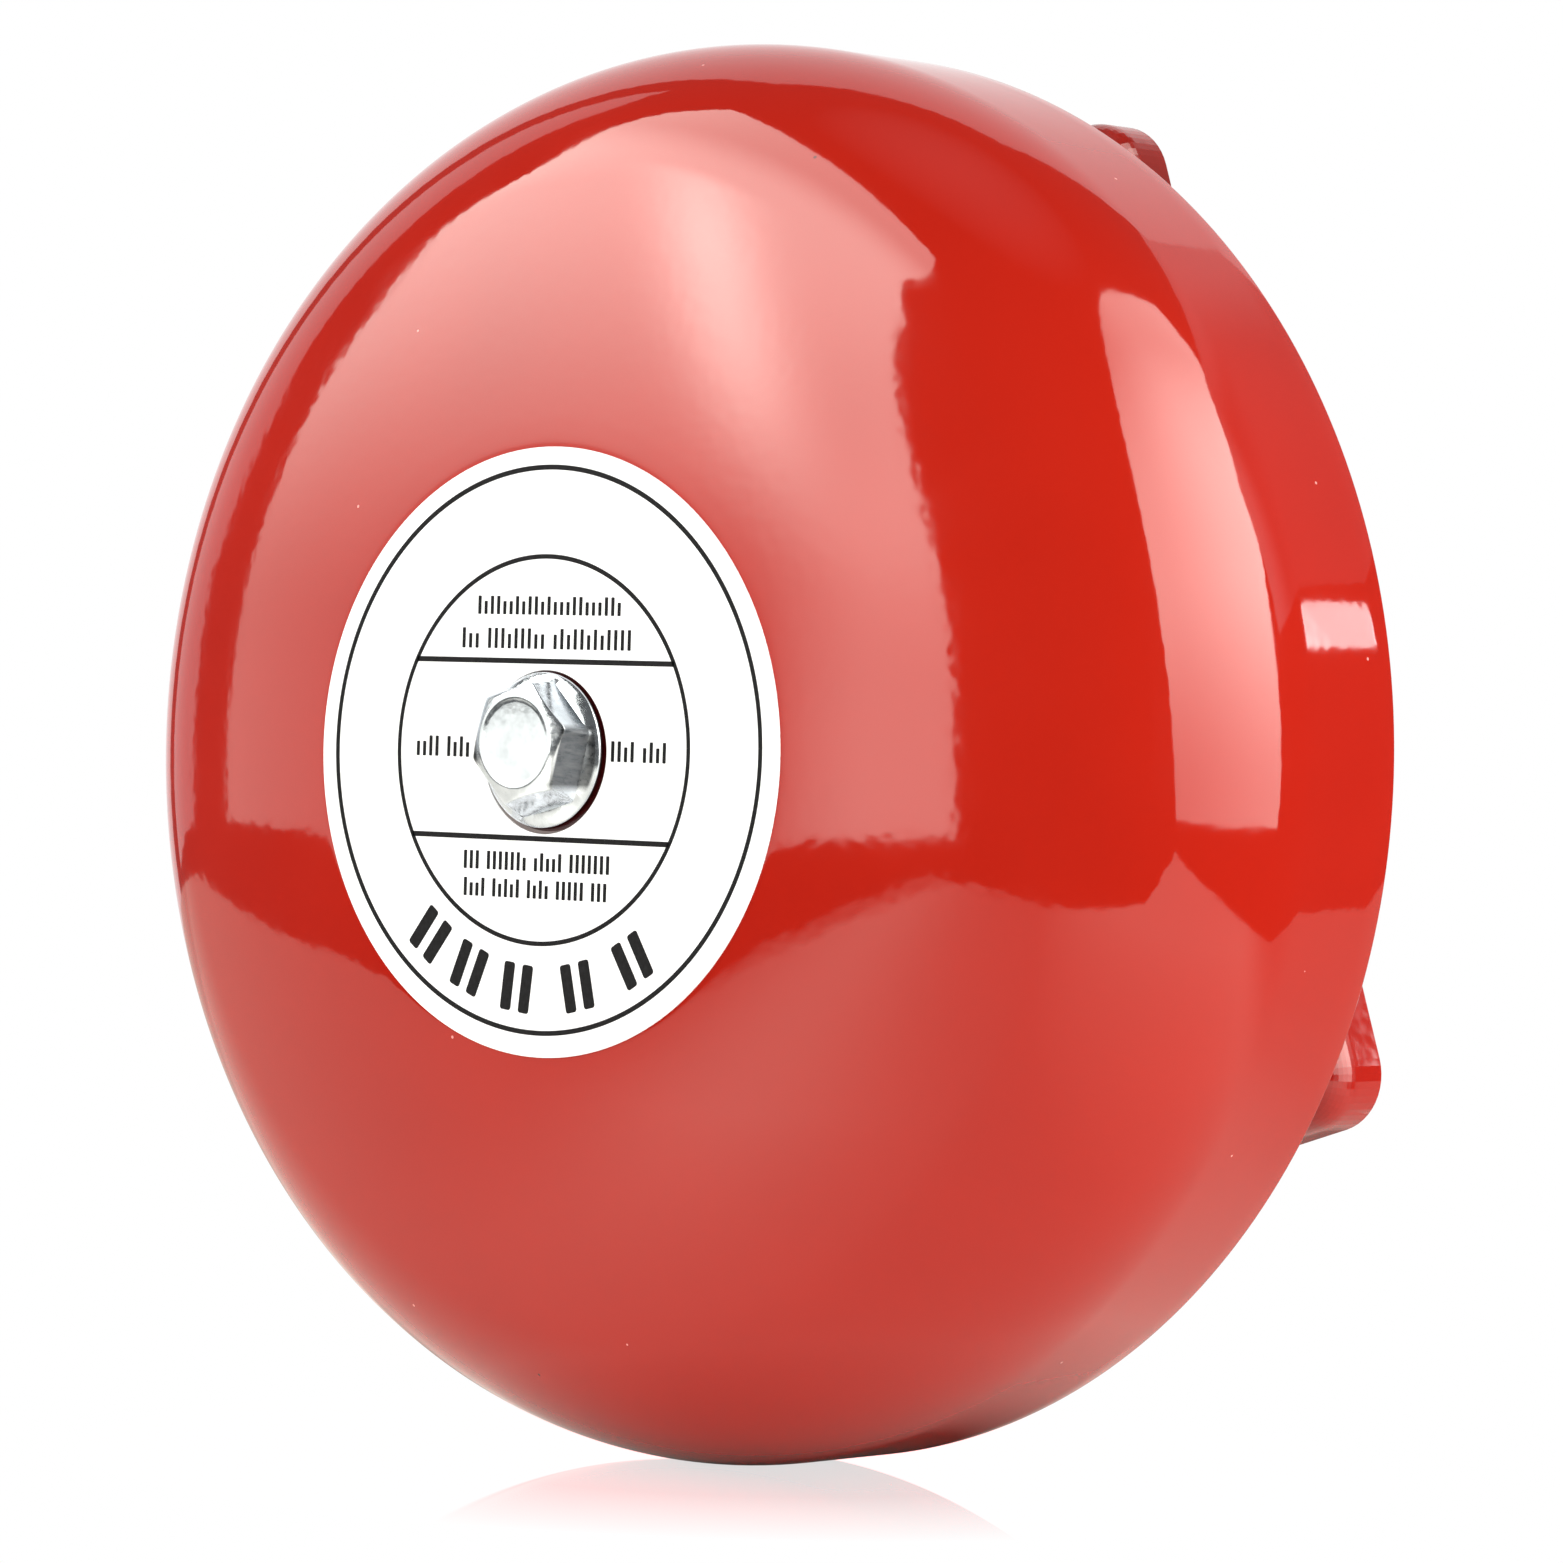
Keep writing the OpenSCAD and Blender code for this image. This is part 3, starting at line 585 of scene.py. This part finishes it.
def plate(bm, outline, low, high, material):
    """Flat plate of an outline [(x, z)] between two distances from the wall."""
    skin(bm, [[(x, z, low) for x, z in outline], [(x, z, high) for x, z in outline]], material=material)
    n = len(outline)
    bm.verts.ensure_lookup_table()
    last = list(bm.verts)[-2 * n:]
    bm.faces.new(last[:n]).material_index = material
    bm.faces.new(last[n:]).material_index = material


def bar(bm, x, z, width, height, corner, turn=0.0):
    """Printed bar with rounded corners, turned about the label's centre."""
    points = []
    for sx, sz, start in ((1, 1, 0), (-1, 1, 90), (-1, -1, 180), (1, -1, 270)):
        for k in range(4):
            a = math.radians(start + 30 * k)
            points.append((x + sx * (width / 2 - corner) + corner * math.cos(a),
                           z + sz * (height / 2 - corner) + corner * math.sin(a)))
    c, s = math.cos(turn), math.sin(turn)
    points = [(c * px - s * pz, s * px + c * pz) for px, pz in points]
    plate(bm, points, LABEL_D - 0.01, LABEL_D + INK_T, 1)


def printed_ring(bm, x, radius, width):
    low, high = LABEL_D - 0.01, LABEL_D + INK_T
    inner, outer = radius - width / 2, radius + width / 2
    profile = [(inner, low), (outer, low), (outer, high), (inner, high)]
    turned(bm, profile, 192, closed=True, centre=(x, 0), material=1)


def printed_row(bm, x, z, width, height, groups, rng):
    """Row of short strokes in groups, where small print would stand."""
    stroke, pitch = 0.42, 0.84
    gap = 0.9 * pitch                          # extra space between two groups
    total = sum(groups) * pitch + (len(groups) - 1) * gap
    scale = width / total
    at = x - width / 2
    for count in groups:
        for _ in range(count):
            tall = height * rng.choice((0.72, 1.0, 1.0))
            bar(bm, at + pitch * scale / 2, z - (height - tall) / 2, stroke, tall, corner=0.08)
            at += pitch * scale
        at += gap * scale


def make_label(m):
    """White vinyl disc with printed rings, rules and plain strokes instead of lettering."""
    rng = random.Random(7)
    edge = 0.06
    hole = LABEL_HOLE_R
    bm = bmesh.new()
    disc = [(hole, LABEL_BACK_D), (hole, LABEL_D - edge), (hole + edge, LABEL_D), (FLAT_MID_R, LABEL_D),
            (LABEL_R - edge, LABEL_D), (LABEL_R, LABEL_D - edge), (LABEL_R, LABEL_BACK_D),
            (FLAT_MID_R, LABEL_BACK_D)]
    turned(bm, disc, 192, closed=True, centre=LABEL_CENTRE)
    ring_r, ring_x = 19.85, -0.3               # inner ring, printed a little to the left
    printed_ring(bm, 0, 29.0, 0.52)
    printed_ring(bm, ring_x, ring_r, 0.48)
    for z in (9.1, -9.1):
        bar(bm, ring_x, z, 2 * math.sqrt(ring_r ** 2 - z ** 2), 0.55, corner=0.05)
    printed_row(bm, 0.2, 14.8, 20, 1.9, (23,), rng)
    printed_row(bm, -0.1, 11.4, 23.6, 2.1, (3, 9, 12), rng)
    printed_row(bm, -14.0, 0.1, 7.8, 2.1, (4, 4), rng)
    printed_row(bm, 12.9, 0.1, 7.8, 2.1, (4, 4), rng)
    printed_row(bm, -0.6, -11.5, 20.4, 1.9, (3, 7, 5, 7), rng)
    printed_row(bm, -0.7, -14.3, 20.0, 1.9, (4, 5, 4, 5, 3), rng)
    arch_r = 24.6                              # radius of the five double bars along the bottom
    for angle in (232.5, 247.5, 263.5, 283, 301.5):
        turn = math.radians(angle + 90)
        for x in (-1.25, 1.25):
            bar(bm, x, -arch_r, 1.45, 5.0, turn=turn, corner=0.3)
    piece = finished("label_disc", bm, TO_FRONT, [m["label"], m["ink"]])
    return place(piece, "housing", "label", "gong_label")


# ---------------------------------------------------------------- bolt

def make_bolt(m):
    """Hexagon flange bolt: drafted flanks, a round chamfer, a dished top; its head sits a little high."""
    facet_deg = -15                            # turn of the hexagon
    seat, top = SEAT_D, BOLT_TOP_D
    neck = seat + 1.2                          # where the hexagon leaves the flange
    head_end = top - 0.08
    offset_x, offset_z = 0.15, 0.75            # how far the top is moved right and up

    def head(height):
        """Drafted hexagon met by the chamfer cone, with a soft edge between them."""
        flat = 5.45 + 0.95 * (top - height) / (top - neck)
        cone = 4.75 + (top - height) * 2.5
        soft = 0.3
        flange_limit = 7.4

        def radius(a):
            facets = (max(0.0, math.cos(a - math.radians(60 * k + facet_deg))) for k in range(6))
            r = flat / sum(c ** 60 for c in facets) ** (1 / 60)
            gap = max(soft - abs(r - cone), 0) / soft
            return min(r, cone, flange_limit) - gap * gap * soft / 4
        return radius

    shank_end = -bolt_high.y
    profile = [(0, shank_end), (3.2, shank_end), (4.0, shank_end + 0.8), (4.0, seat), (7.7, seat)]
    profile += arc((7.65, seat + 0.35), 0.35, -90, 70, 6)
    profile += [(7.55, seat + 0.95)]
    heights = [neck + (head_end - neck) * k / 40 for k in range(41)]
    profile += [(head(height), height) for height in heights]
    profile += [(4.8, top - 0.02), (4.7, top), (4.6, top), (4.45, top - 0.04), (4.25, top - 0.11),
                (4.05, top - 0.14), (0, top - 0.15)]
    bm = bmesh.new()
    turned(bm, profile, 240)
    for v in bm.verts:
        rise = min(max((v.co.z - neck + 0.2) / (top - neck), 0), 1)
        v.co.x += offset_x * rise
        v.co.y += offset_z * rise              # local +Y becomes +Z
    piece = finished("flange_bolt", bm, TO_FRONT, [m["head_zinc"]], sharp_deg=50)
    return place(piece, "housing", "zinc", "gong_bolt")


# ---------------------------------------------------------------- return spring

def tube(bm, path, radius, sides, material=0):
    """Round tube along a path of points, closed at both ends."""
    points = [Vector(p) for p in path]
    rings = []
    side = None
    for i, p in enumerate(points):
        ahead = points[min(i + 1, len(points) - 1)] - points[max(i - 1, 0)]
        ahead.normalize()
        if side is None:
            side = ahead.orthogonal().normalized()
        side = (side - ahead * side.dot(ahead)).normalized()
        other = ahead.cross(side)
        rings.append([p + radius * (math.cos(2 * math.pi * k / sides) * side
                                    + math.sin(2 * math.pi * k / sides) * other) for k in range(sides)])
    rings = [[points[0]]] + rings + [[points[-1]]]
    skin(bm, rings, material=material)


def make_spring(m):
    low, high = node_box("return_spring")
    wire_r = 0.35
    coil_r = high.x - wire_r
    centre_y = (low.y + high.y) / 2
    turns, steps = 5, 40
    dead = 0.12                                # share of the coil that is wound close at each end
    packed = 0.06                              # share of the height that each close end takes
    base, top = low.z + wire_r, high.z - wire_r
    path = []
    for k in range(turns * steps + 1):
        share = k / (turns * steps)
        rise = min(max((share - dead) / (1 - 2 * dead), 0), 1)
        ends = packed * (min(share / dead, 1) + max((share - 1 + dead) / dead, 0))
        a = 2 * math.pi * k / steps
        path.append((coil_r * math.cos(a), centre_y + coil_r * math.sin(a),
                     base + (top - base) * (ends + (1 - 2 * packed) * rise)))
    bm = bmesh.new()
    tube(bm, path, wire_r, 12)
    piece = finished("return_spring_coil", bm, Matrix.Identity(4), [m["spring"]])
    place(piece, "housing", "steel", "return_spring")
    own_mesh(piece)
    return piece


# ---------------------------------------------------------------- motor leads

LEAD_R = 0.7                                # radius of a lead's insulation
SOLDER_R = 0.98                             # radius of its solder joint on the board
TERMINAL_Y = -31.7                          # where both leads meet the motor's terminals
RED_ROUTE = [(13, -13.6, 18), (13, -16, 18), (14.5, -20, 17), (19, -24, 14), (24, -27, 9),
             (26.5, -29.5, 3), (26.5, -31.2, -4)]
BLACK_ROUTE = [(8, -13.6, 18), (8, -16, 18), (9, -21, 16.5), (12, -26, 13), (15, -29.5, 7),
               (16.2, -31.2, 1), (16.2, -31.7, -5)]


def smooth(points):
    """Catmull-Rom points through a route."""
    per = 5                                    # points for each leg of the route
    p = [Vector(q) for q in points]
    out = []
    for i in range(len(p) - 1):
        a, b, c, d = p[max(i - 1, 0)], p[i], p[i + 1], p[min(i + 2, len(p) - 1)]
        for k in range(per):
            t = k / per
            out.append(0.5 * (2 * b + (c - a) * t + (2 * a - 5 * b + 4 * c - d) * t * t
                              + (3 * b - a - 3 * c + d) * t * t * t))
    return out + [p[-1]]


def make_lead(m, name, route, node, slot, terminal_x, bend_z):
    """One lead from its solder joint on the board to a motor terminal."""
    low, high = node_box("motor_terminals")
    end_z = (low.z + high.z) / 2 + 0.25
    path = smooth(route + [(terminal_x, TERMINAL_Y, bend_z), (terminal_x, TERMINAL_Y, end_z)])
    joint = [path[0] + Vector((0, depth, 0)) for depth in (0, -0.15, -0.3)]
    bm = bmesh.new()
    tube(bm, path, LEAD_R, 16)
    tube(bm, joint, SOLDER_R, 16, material=1)
    piece = finished(name, bm, Matrix.Identity(4), [m[slot], m["aluminium"]])
    return place(piece, "housing", slot, node)


def make_leads(m):
    low, high = node_box("motor_terminals")
    middle = (low.x + high.x) / 2
    terminal_width = 2.5
    gap = (high.x - low.x - terminal_width) / 2
    make_lead(m, "red_motor_lead", RED_ROUTE, "lead_red", "wire_red", middle + gap, -11)
    make_lead(m, "black_motor_lead", BLACK_ROUTE, "lead_black", "wire_black", middle - gap, -12)


# ---------------------------------------------------------------- small turned pieces

def make_capacitor(m):
    """Sleeved can with a crimped neck and a sunk aluminium top."""
    low, high = node_box("capacitor")
    r = (high.x - low.x) / 2
    centre = ((low.x + high.x) / 2, (low.z + high.z) / 2)
    back, front = -high.y, -low.y
    profile = [(0, back), (r - 0.35, back), (r, back + 0.35), (r, back + 1.3), (r - 0.35, back + 1.75),
               (r - 0.35, back + 1.95), (r, back + 2.4), (r, front - 0.4), (r - 0.12, front - 0.1),
               (r - 0.45, front)]
    bm = bmesh.new()
    turned(bm, profile + [(r - 0.7, front - 0.1), (r - 0.75, front - 0.3)], 64, centre=centre)
    top = [(r - 0.75, front - 0.3), (r - 1.1, front - 0.2), (0, front - 0.2)]
    turned(bm, top, 64, centre=centre, material=1)
    bmesh.ops.remove_doubles(bm, verts=bm.verts, dist=1e-4)
    piece = finished("smoothing_capacitor", bm, TO_FRONT, [m["capacitor_sleeve"], m["aluminium"]])
    return place(piece, "housing", "capacitor_sleeve", "capacitor")


def make_bellows(m):
    """Rubber seal round the striker's rod, folded in two rings."""
    low, high = node_box("striker_seal")
    centre = (0, (low.y + high.y) / 2)
    r_out = high.x
    bore = 2.05
    outer = [(r_out, high.z), (r_out, high.z - 0.7), (4.4, high.z - 1.1), (4.75, high.z - 1.6),
             (3.7, high.z - 2.1), (4.05, high.z - 2.6), (3.1, high.z - 3.1), (3.0, low.z + 0.3),
             (2.7, low.z)]
    inner = [(bore, low.z), (bore, high.z - 3.0), (4.0, high.z - 1.1), (4.0, high.z)]
    bm = bmesh.new()
    turned(bm, outer + inner, 72, closed=True, centre=centre)
    piece = finished("striker_bellows", bm, Matrix.Identity(4), [m["rubber"]], sharp_deg=80)
    return place(piece, "housing", "rubber", "striker_seal")


# ---------------------------------------------------------------- CAD nodes that stay

def dress_cad_nodes(m):
    """Gives every CAD node that still shows its slot's material and softly broken edges."""
    slots = {part["node"]: part["material_slot"] for part in frame["record"]["subparts"]}
    for name, node in frame["nodes"].items():
        if node.hide_render:
            continue
        node.data.materials.clear()
        node.data.materials.append(m[slots[name]])
        weld = node.modifiers.new("weld", "WELD")
        weld.merge_threshold = 0.002 * MM
        bevel = node.modifiers.new("edges", "BEVEL")
        bevel.width = 0.12 * MM
        bevel.segments = 2
        bevel.limit_method = "ANGLE"
        bevel.angle_limit = math.radians(35)
        bevel.harden_normals = True
        bevel.use_clamp_overlap = True


# ---------------------------------------------------------------- studio

def glow(name, strength_nodes, colour=(1, 1, 1)):
    """Emission material; strength_nodes builds its strength from the mesh's own coordinates."""
    material = bpy.data.materials.new(name)
    material.use_nodes = True
    tree = material.node_tree
    tree.nodes.clear()
    out = tree.nodes.new("ShaderNodeOutputMaterial")
    emit = tree.nodes.new("ShaderNodeEmission")
    emit.inputs["Color"].default_value = (*colour, 1)
    tree.links.new(emit.outputs[0], out.inputs[0])
    strength_nodes(tree, emit.inputs["Strength"])
    return material


CARD_DISTANCE = 1.0                         # from the bell to every card


def card(name, turn_deg, outline, material, mirrored=True):
    """Flat emissive card that either shows in gloss or lights the matt colours.

    Its outline points are (right, up) in metres.
    """
    mesh = bpy.data.meshes.new(name)
    mesh.from_pydata([(u, 0, w) for u, w in outline], [], [tuple(range(len(outline)))])
    mesh.materials.append(material)
    made = bpy.data.objects.new(name, mesh)
    bpy.context.scene.collection.objects.link(made)
    turn = Matrix.Rotation(math.radians(turn_deg), 4, "Z")
    away = Matrix.Translation((0, -CARD_DISTANCE, 0))
    made.matrix_world = Matrix.Translation((0, -0.025, 0)) @ turn @ away
    made.visible_camera = False
    made.visible_shadow = False
    made.visible_glossy = mirrored
    made.visible_diffuse = not mirrored


def bowed(right_edge, right_heights, left_edge, left_heights):
    """Outline of a card whose two sides follow formulas of the height, with straight ends."""
    steps = 24

    def rising(low, high):
        return [low + (high - low) * k / steps for k in range(steps + 1)]

    return ([(right_edge(h), h) for h in rising(*right_heights)]
            + [(left_edge(h), h) for h in reversed(rising(*left_heights))])


WARM = (1.14, 1.11, 1.03)                   # colour of the key and side cards
KEY_TURN, SIDE_TURN = -40, 90               # where the cards stand round the bell, in degrees
BACK_TURN, LAMP_TURN = -140, 145            # 0 is in front, 90 on the right


class Glow:
    """Strength of a light card as a sum of soft ramps over its own right (X) and up (Z)."""

    def __init__(self, tree):
        self.tree = tree
        coords = tree.nodes.new("ShaderNodeTexCoord")
        split = tree.nodes.new("ShaderNodeSeparateXYZ")
        tree.links.new(coords.outputs["Object"], split.inputs[0])
        self.right, self.up = split.outputs["X"], split.outputs["Z"]

    def math(self, operation, a, b=0.0):
        node = self.tree.nodes.new("ShaderNodeMath")
        node.operation = operation
        for socket, value in zip(node.inputs, (a, b)):
            if isinstance(value, (int, float)):
                socket.default_value = value
            else:
                self.tree.links.new(value, socket)
        return node.outputs[0]

    def ramp(self, source, start, end, low, high):
        node = self.tree.nodes.new("ShaderNodeMapRange")
        node.interpolation_type = "SMOOTHSTEP"
        for key, value in (("From Min", start), ("From Max", end), ("To Min", low), ("To Max", high)):
            node.inputs[key].default_value = value
        self.tree.links.new(source, node.inputs["Value"])
        return node.outputs["Result"]


def key_strength(tree, socket):
    """Dim at the foot, brightest near 0.85 m, brighter at the lower right, with a slanting streak."""
    g = Glow(tree)
    body = g.math("ADD", g.ramp(g.up, 0.10, 0.80, 1.35, 7.0), g.ramp(g.up, 0.9, 1.5, 0, -2.8))
    side = g.math("MULTIPLY", g.ramp(g.right, 0.30, 0.62, 0, 2.4), g.ramp(g.up, 0.30, 0.62, 1, 0))
    centre = g.math("ADD", g.math("MULTIPLY", g.up, -0.95), 0.725)
    offset = g.math("DIVIDE", g.math("SUBTRACT", g.right, centre), 0.12)
    bell_curve = g.math("EXPONENT", g.math("MULTIPLY", g.math("MULTIPLY", offset, offset), -1))
    height = g.math("MULTIPLY", g.ramp(g.up, 0.22, 0.60, 0, 5.2), g.ramp(g.up, 0.66, 0.92, 1, 0))
    streak = g.math("MULTIPLY", bell_curve, height)
    tree.links.new(g.math("ADD", g.math("ADD", body, side), streak), socket)


def side_strength(tree, socket):
    """Brightest between 0.5 and 0.7 m up and toward the right."""
    g = Glow(tree)
    body = g.math("ADD", g.ramp(g.up, -0.10, 0.50, 3.9, 8.2), g.ramp(g.up, 0.7, 1.7, 0, -4.2))
    tree.links.new(g.math("MULTIPLY", body, g.ramp(g.right, -0.55, 0.4, 0.74, 1.12)), socket)


def wall_strength(tree, socket):
    """Pale next to the side card, dim further round, a little paler again higher up."""
    g = Glow(tree)
    body = g.math("ADD", g.ramp(g.right, -0.40, -0.12, 1.25, 0.35), g.ramp(g.up, 0.75, 0.95, 0, 0.3))
    tree.links.new(body, socket)


def side_light(tree, socket):
    """Bright at the foot and faint higher up, for the matt colours only."""
    g = Glow(tree)
    tree.links.new(g.ramp(g.up, 0.15, 1.0, 5.9, 0.2), socket)


def lamp_strength(tree, socket):
    """The lamp's pane, brighter toward its two ends."""
    g = Glow(tree)
    ends = g.math("ADD", g.ramp(g.right, -0.055, -0.030, 4.5, 0), g.ramp(g.right, -0.006, 0.010, 0, 4.5))
    tree.links.new(g.math("ADD", ends, 7.0), socket)


def even(strength):
    return lambda tree, socket: setattr(socket, "default_value", strength)


def add_cards():
    def key_half(h):
        """Half width of the key card, narrowest at its waist."""
        waist = 0.72
        spread = 0.36 if h < waist else 0.50
        return 0.80 - 0.30 * math.exp(-((h - waist) / spread) ** 2)

    def side_right(h):
        return min(0.55 + 0.5 * max(h - 0.25, 0) ** 1.4, 1.38)

    def side_left(h):
        return -0.60 + 0.3 * (h - 0.55) ** 2

    key = bowed(key_half, (-0.13, 1.75), lambda h: -key_half(h), (-0.09, 2.2))
    card("key_card", KEY_TURN, key, glow("key_glow", key_strength, WARM))
    side = bowed(side_right, (-0.13, 2.3), side_left, (-0.13, 2.3))
    card("side_card", SIDE_TURN, side, glow("side_glow", side_strength, WARM))
    backdrop = glow("backdrop_glow", even(1.0))
    panel = [(-0.75, -0.12), (0.60, -0.12), (0.62, 0.9), (0.5, 1.9), (-0.5, 1.9), (-0.8, 0.9)]
    card("backdrop", BACK_TURN, panel, backdrop)
    panel = [(0.80, -0.12), (1.46, -0.12), (1.48, 0.2), (1.75, 0.55), (1.1, 1.6), (0.80, 1.6)]
    card("backdrop_edge", BACK_TURN, panel, backdrop)
    card("right_wall", LAMP_TURN, [(-0.4, 0.3), (0.55, 0.35), (0.9, 1.1), (-0.15, 0.95), (-0.4, 0.7)],
         glow("wall_glow", wall_strength))
    card("small_lamp", LAMP_TURN, [(-0.06, 0.21), (0.02, 0.21), (0.0, 0.29), (-0.05, 0.29)],
         glow("lamp_glow", lamp_strength))
    wide = [(-0.75, -0.1), (0.75, -0.1), (0.75, 1.9), (-0.75, 1.9)]
    card("front_light", KEY_TURN, wide, glow("front_light_glow", even(2.75)), mirrored=False)
    card("side_light", SIDE_TURN, wide, glow("side_light_glow", side_light), mirrored=False)
    card("back_light", 195, wide, glow("back_light_glow", even(0.8)), mirrored=False)


def table_gloss(s, x, y):
    """Painted light and shade of the table in the bell's gloss, from its own X and Y in metres."""
    touch = s.add("ShaderNodeVectorMath", operation="DISTANCE")
    s.link(s.coords, touch.inputs[0])
    touch.inputs[1].default_value = (0.005, -0.012, FLOOR_Z)
    # painted contact shadow: dark where the rim touches the table, but not behind it on the right
    level = s.ranged(touch.outputs["Value"], 0.04, 0.90, 0.015, 0.043)
    lit_side = s.math("MULTIPLY", s.ranged(y, 0, 0.90, 0.0, 0.012), s.ranged(x, 0, 1, 0.0, 0.015))
    level = s.math("MAXIMUM", level, lit_side)
    # painted shadow: dim behind the bell
    behind = s.math("MULTIPLY", s.ranged(x, 0, 0.75, -0.095, -0.06), s.ranged(x, 1, 0, 0.0, 0.03))
    behind = s.math("MULTIPLY", behind, s.ranged(y, 0, 1, -0.02, 0.0))
    level = s.math("MULTIPLY", level, s.math("SUBTRACT", 1.0, behind))
    # pale streak that runs toward the front
    aside = s.math("DIVIDE", s.math("ADD", x, 0.015), 0.04)
    streak = s.math("EXPONENT", s.math("MULTIPLY", s.math("MULTIPLY", aside, aside), -1))
    level = s.math("ADD", level, s.math("MULTIPLY", streak, s.ranged(y, 1.05, 0, -0.13, -0.055)))
    # brighter on the right, a little dimmer at the back
    right = s.math("MULTIPLY", s.ranged(x, 0, 0.8, 0.08, 0.20), s.ranged(y, 1, 0, 0.02, 0.09))
    level = s.math("ADD", level, right)
    level = s.math("MULTIPLY", level, s.ranged(y, 1, 0.70, 0.032, 0.065))
    # dimmer past a slanting line at the front left
    beyond = s.math("ADD", s.math("MULTIPLY", x, -0.944), s.math("MULTIPLY", y, -0.329))
    edge = s.math("MULTIPLY", s.ranged(beyond, 0, 0.58, 0.128, 0.146), s.ranged(y, 1, 0, -0.235, -0.19))
    return s.math("MULTIPLY", level, s.math("SUBTRACT", 1.0, edge))


def add_floor():
    """Pale table.

    It is paint for the diffuse light, a warm glowing sheet to glossy rays, and plain white with a
    faint mirror near the bell to the camera.
    """
    outline = [(-0.65, -0.10), (-0.08, -0.20), (0.0, -0.50), (0.23, -0.16), (0.38, -0.18), (0.20, 0.08),
               (0.25, 0.45), (-0.65, 0.45)]
    mesh = bpy.data.meshes.new("floor")
    mesh.from_pydata([(x, y, FLOOR_Z) for x, y in outline], [], [tuple(range(len(outline)))])
    floor = bpy.data.objects.new("floor", mesh)
    bpy.context.scene.collection.objects.link(floor)
    s = Shader("floor_paint", (0.80, 0.76, 0.72), 0.4, Specular_IOR_Level=0.3)
    s.roughness(s.ranged(s.noise(60, 2), 0.35, 0.5))
    s.material.cycles.emission_sampling = "NONE"
    reach = s.add("ShaderNodeVectorMath", operation="DISTANCE")
    s.link(s.coords, reach.inputs[0])
    reach.inputs[1].default_value = (0, -0.02, FLOOR_Z)
    reach = reach.outputs["Value"]
    split = s.add("ShaderNodeSeparateXYZ")
    s.link(s.coords, split.inputs[0])
    x, y = split.outputs["X"], split.outputs["Y"]

    sheet = s.add("ShaderNodeEmission")
    sheet.inputs["Color"].default_value = (1.18, 1.12, 1.0, 1)
    s.link(table_gloss(s, x, y), sheet.inputs["Strength"])

    plain = s.add("ShaderNodeEmission")
    mirror = s.add("ShaderNodeBsdfGlossy")
    mirror.inputs["Roughness"].default_value = 0.01
    mirror.inputs["Color"].default_value = (3.5, 1, 1, 1)   # so the faint reflection still reads red
    sheen = s.add("ShaderNodeMixShader")
    s.link(s.ranged(reach, 0.30, 0, 0.034, 0.070), sheen.inputs[0])
    s.link(plain.outputs[0], sheen.inputs[1])
    s.link(mirror.outputs[0], sheen.inputs[2])

    path = s.add("ShaderNodeLightPath")
    shader = s.bsdf.outputs[0]
    for flag, other in (("Is Glossy Ray", sheet), ("Is Camera Ray", sheen)):
        choice = s.add("ShaderNodeMixShader")
        s.link(path.outputs[flag], choice.inputs[0])
        s.link(shader, choice.inputs[1])
        s.link(other.outputs[0], choice.inputs[2])
        shader = choice.outputs[0]
    s.link(shader, s.tree.nodes["Material Output"].inputs["Surface"])
    floor.data.materials.append(s.material)


def add_studio():
    add_cards()
    add_floor()

    world = bpy.data.worlds.new("studio")
    bpy.context.scene.world = world
    world.use_nodes = True
    tree = world.node_tree
    tree.nodes.clear()
    out = tree.nodes.new("ShaderNodeOutputWorld")
    coords = tree.nodes.new("ShaderNodeTexCoord")
    split = tree.nodes.new("ShaderNodeSeparateXYZ")
    tree.links.new(coords.outputs["Generated"], split.inputs[0])
    path = tree.nodes.new("ShaderNodeLightPath")

    def sky(start, end, low, high):
        """Strength that changes with the direction's height."""
        shade = tree.nodes.new("ShaderNodeBackground")
        ramp = tree.nodes.new("ShaderNodeMapRange")
        for key, value in (("From Min", start), ("From Max", end), ("To Min", low), ("To Max", high)):
            ramp.inputs[key].default_value = value
        tree.links.new(split.outputs["Z"], ramp.inputs["Value"])
        tree.links.new(ramp.outputs["Result"], shade.inputs["Strength"])
        return shade

    white = tree.nodes.new("ShaderNodeBackground")
    white.inputs["Color"].default_value = (1, 1, 1, 1)
    shader = sky(0.35, 0.9, 1.28, 0.75)
    for flag, other in (("Is Glossy Ray", sky(0.93, 1.0, 0.15, 0.55)), ("Is Camera Ray", white)):
        choice = tree.nodes.new("ShaderNodeMixShader")
        tree.links.new(path.outputs[flag], choice.inputs[0])
        tree.links.new(shader.outputs[0], choice.inputs[1])
        tree.links.new(other.outputs[0], choice.inputs[2])
        shader = choice
    tree.links.new(shader.outputs[0], out.inputs[0])
    bpy.context.scene.view_settings.view_transform = "Standard"


# ---------------------------------------------------------------- build

add_camera()
materials = make_materials()
make_gong(materials)
make_label(materials)
make_bolt(materials)
make_spring(materials)
make_leads(materials)
make_capacitor(materials)
make_bellows(materials)
dress_cad_nodes(materials)
add_studio()
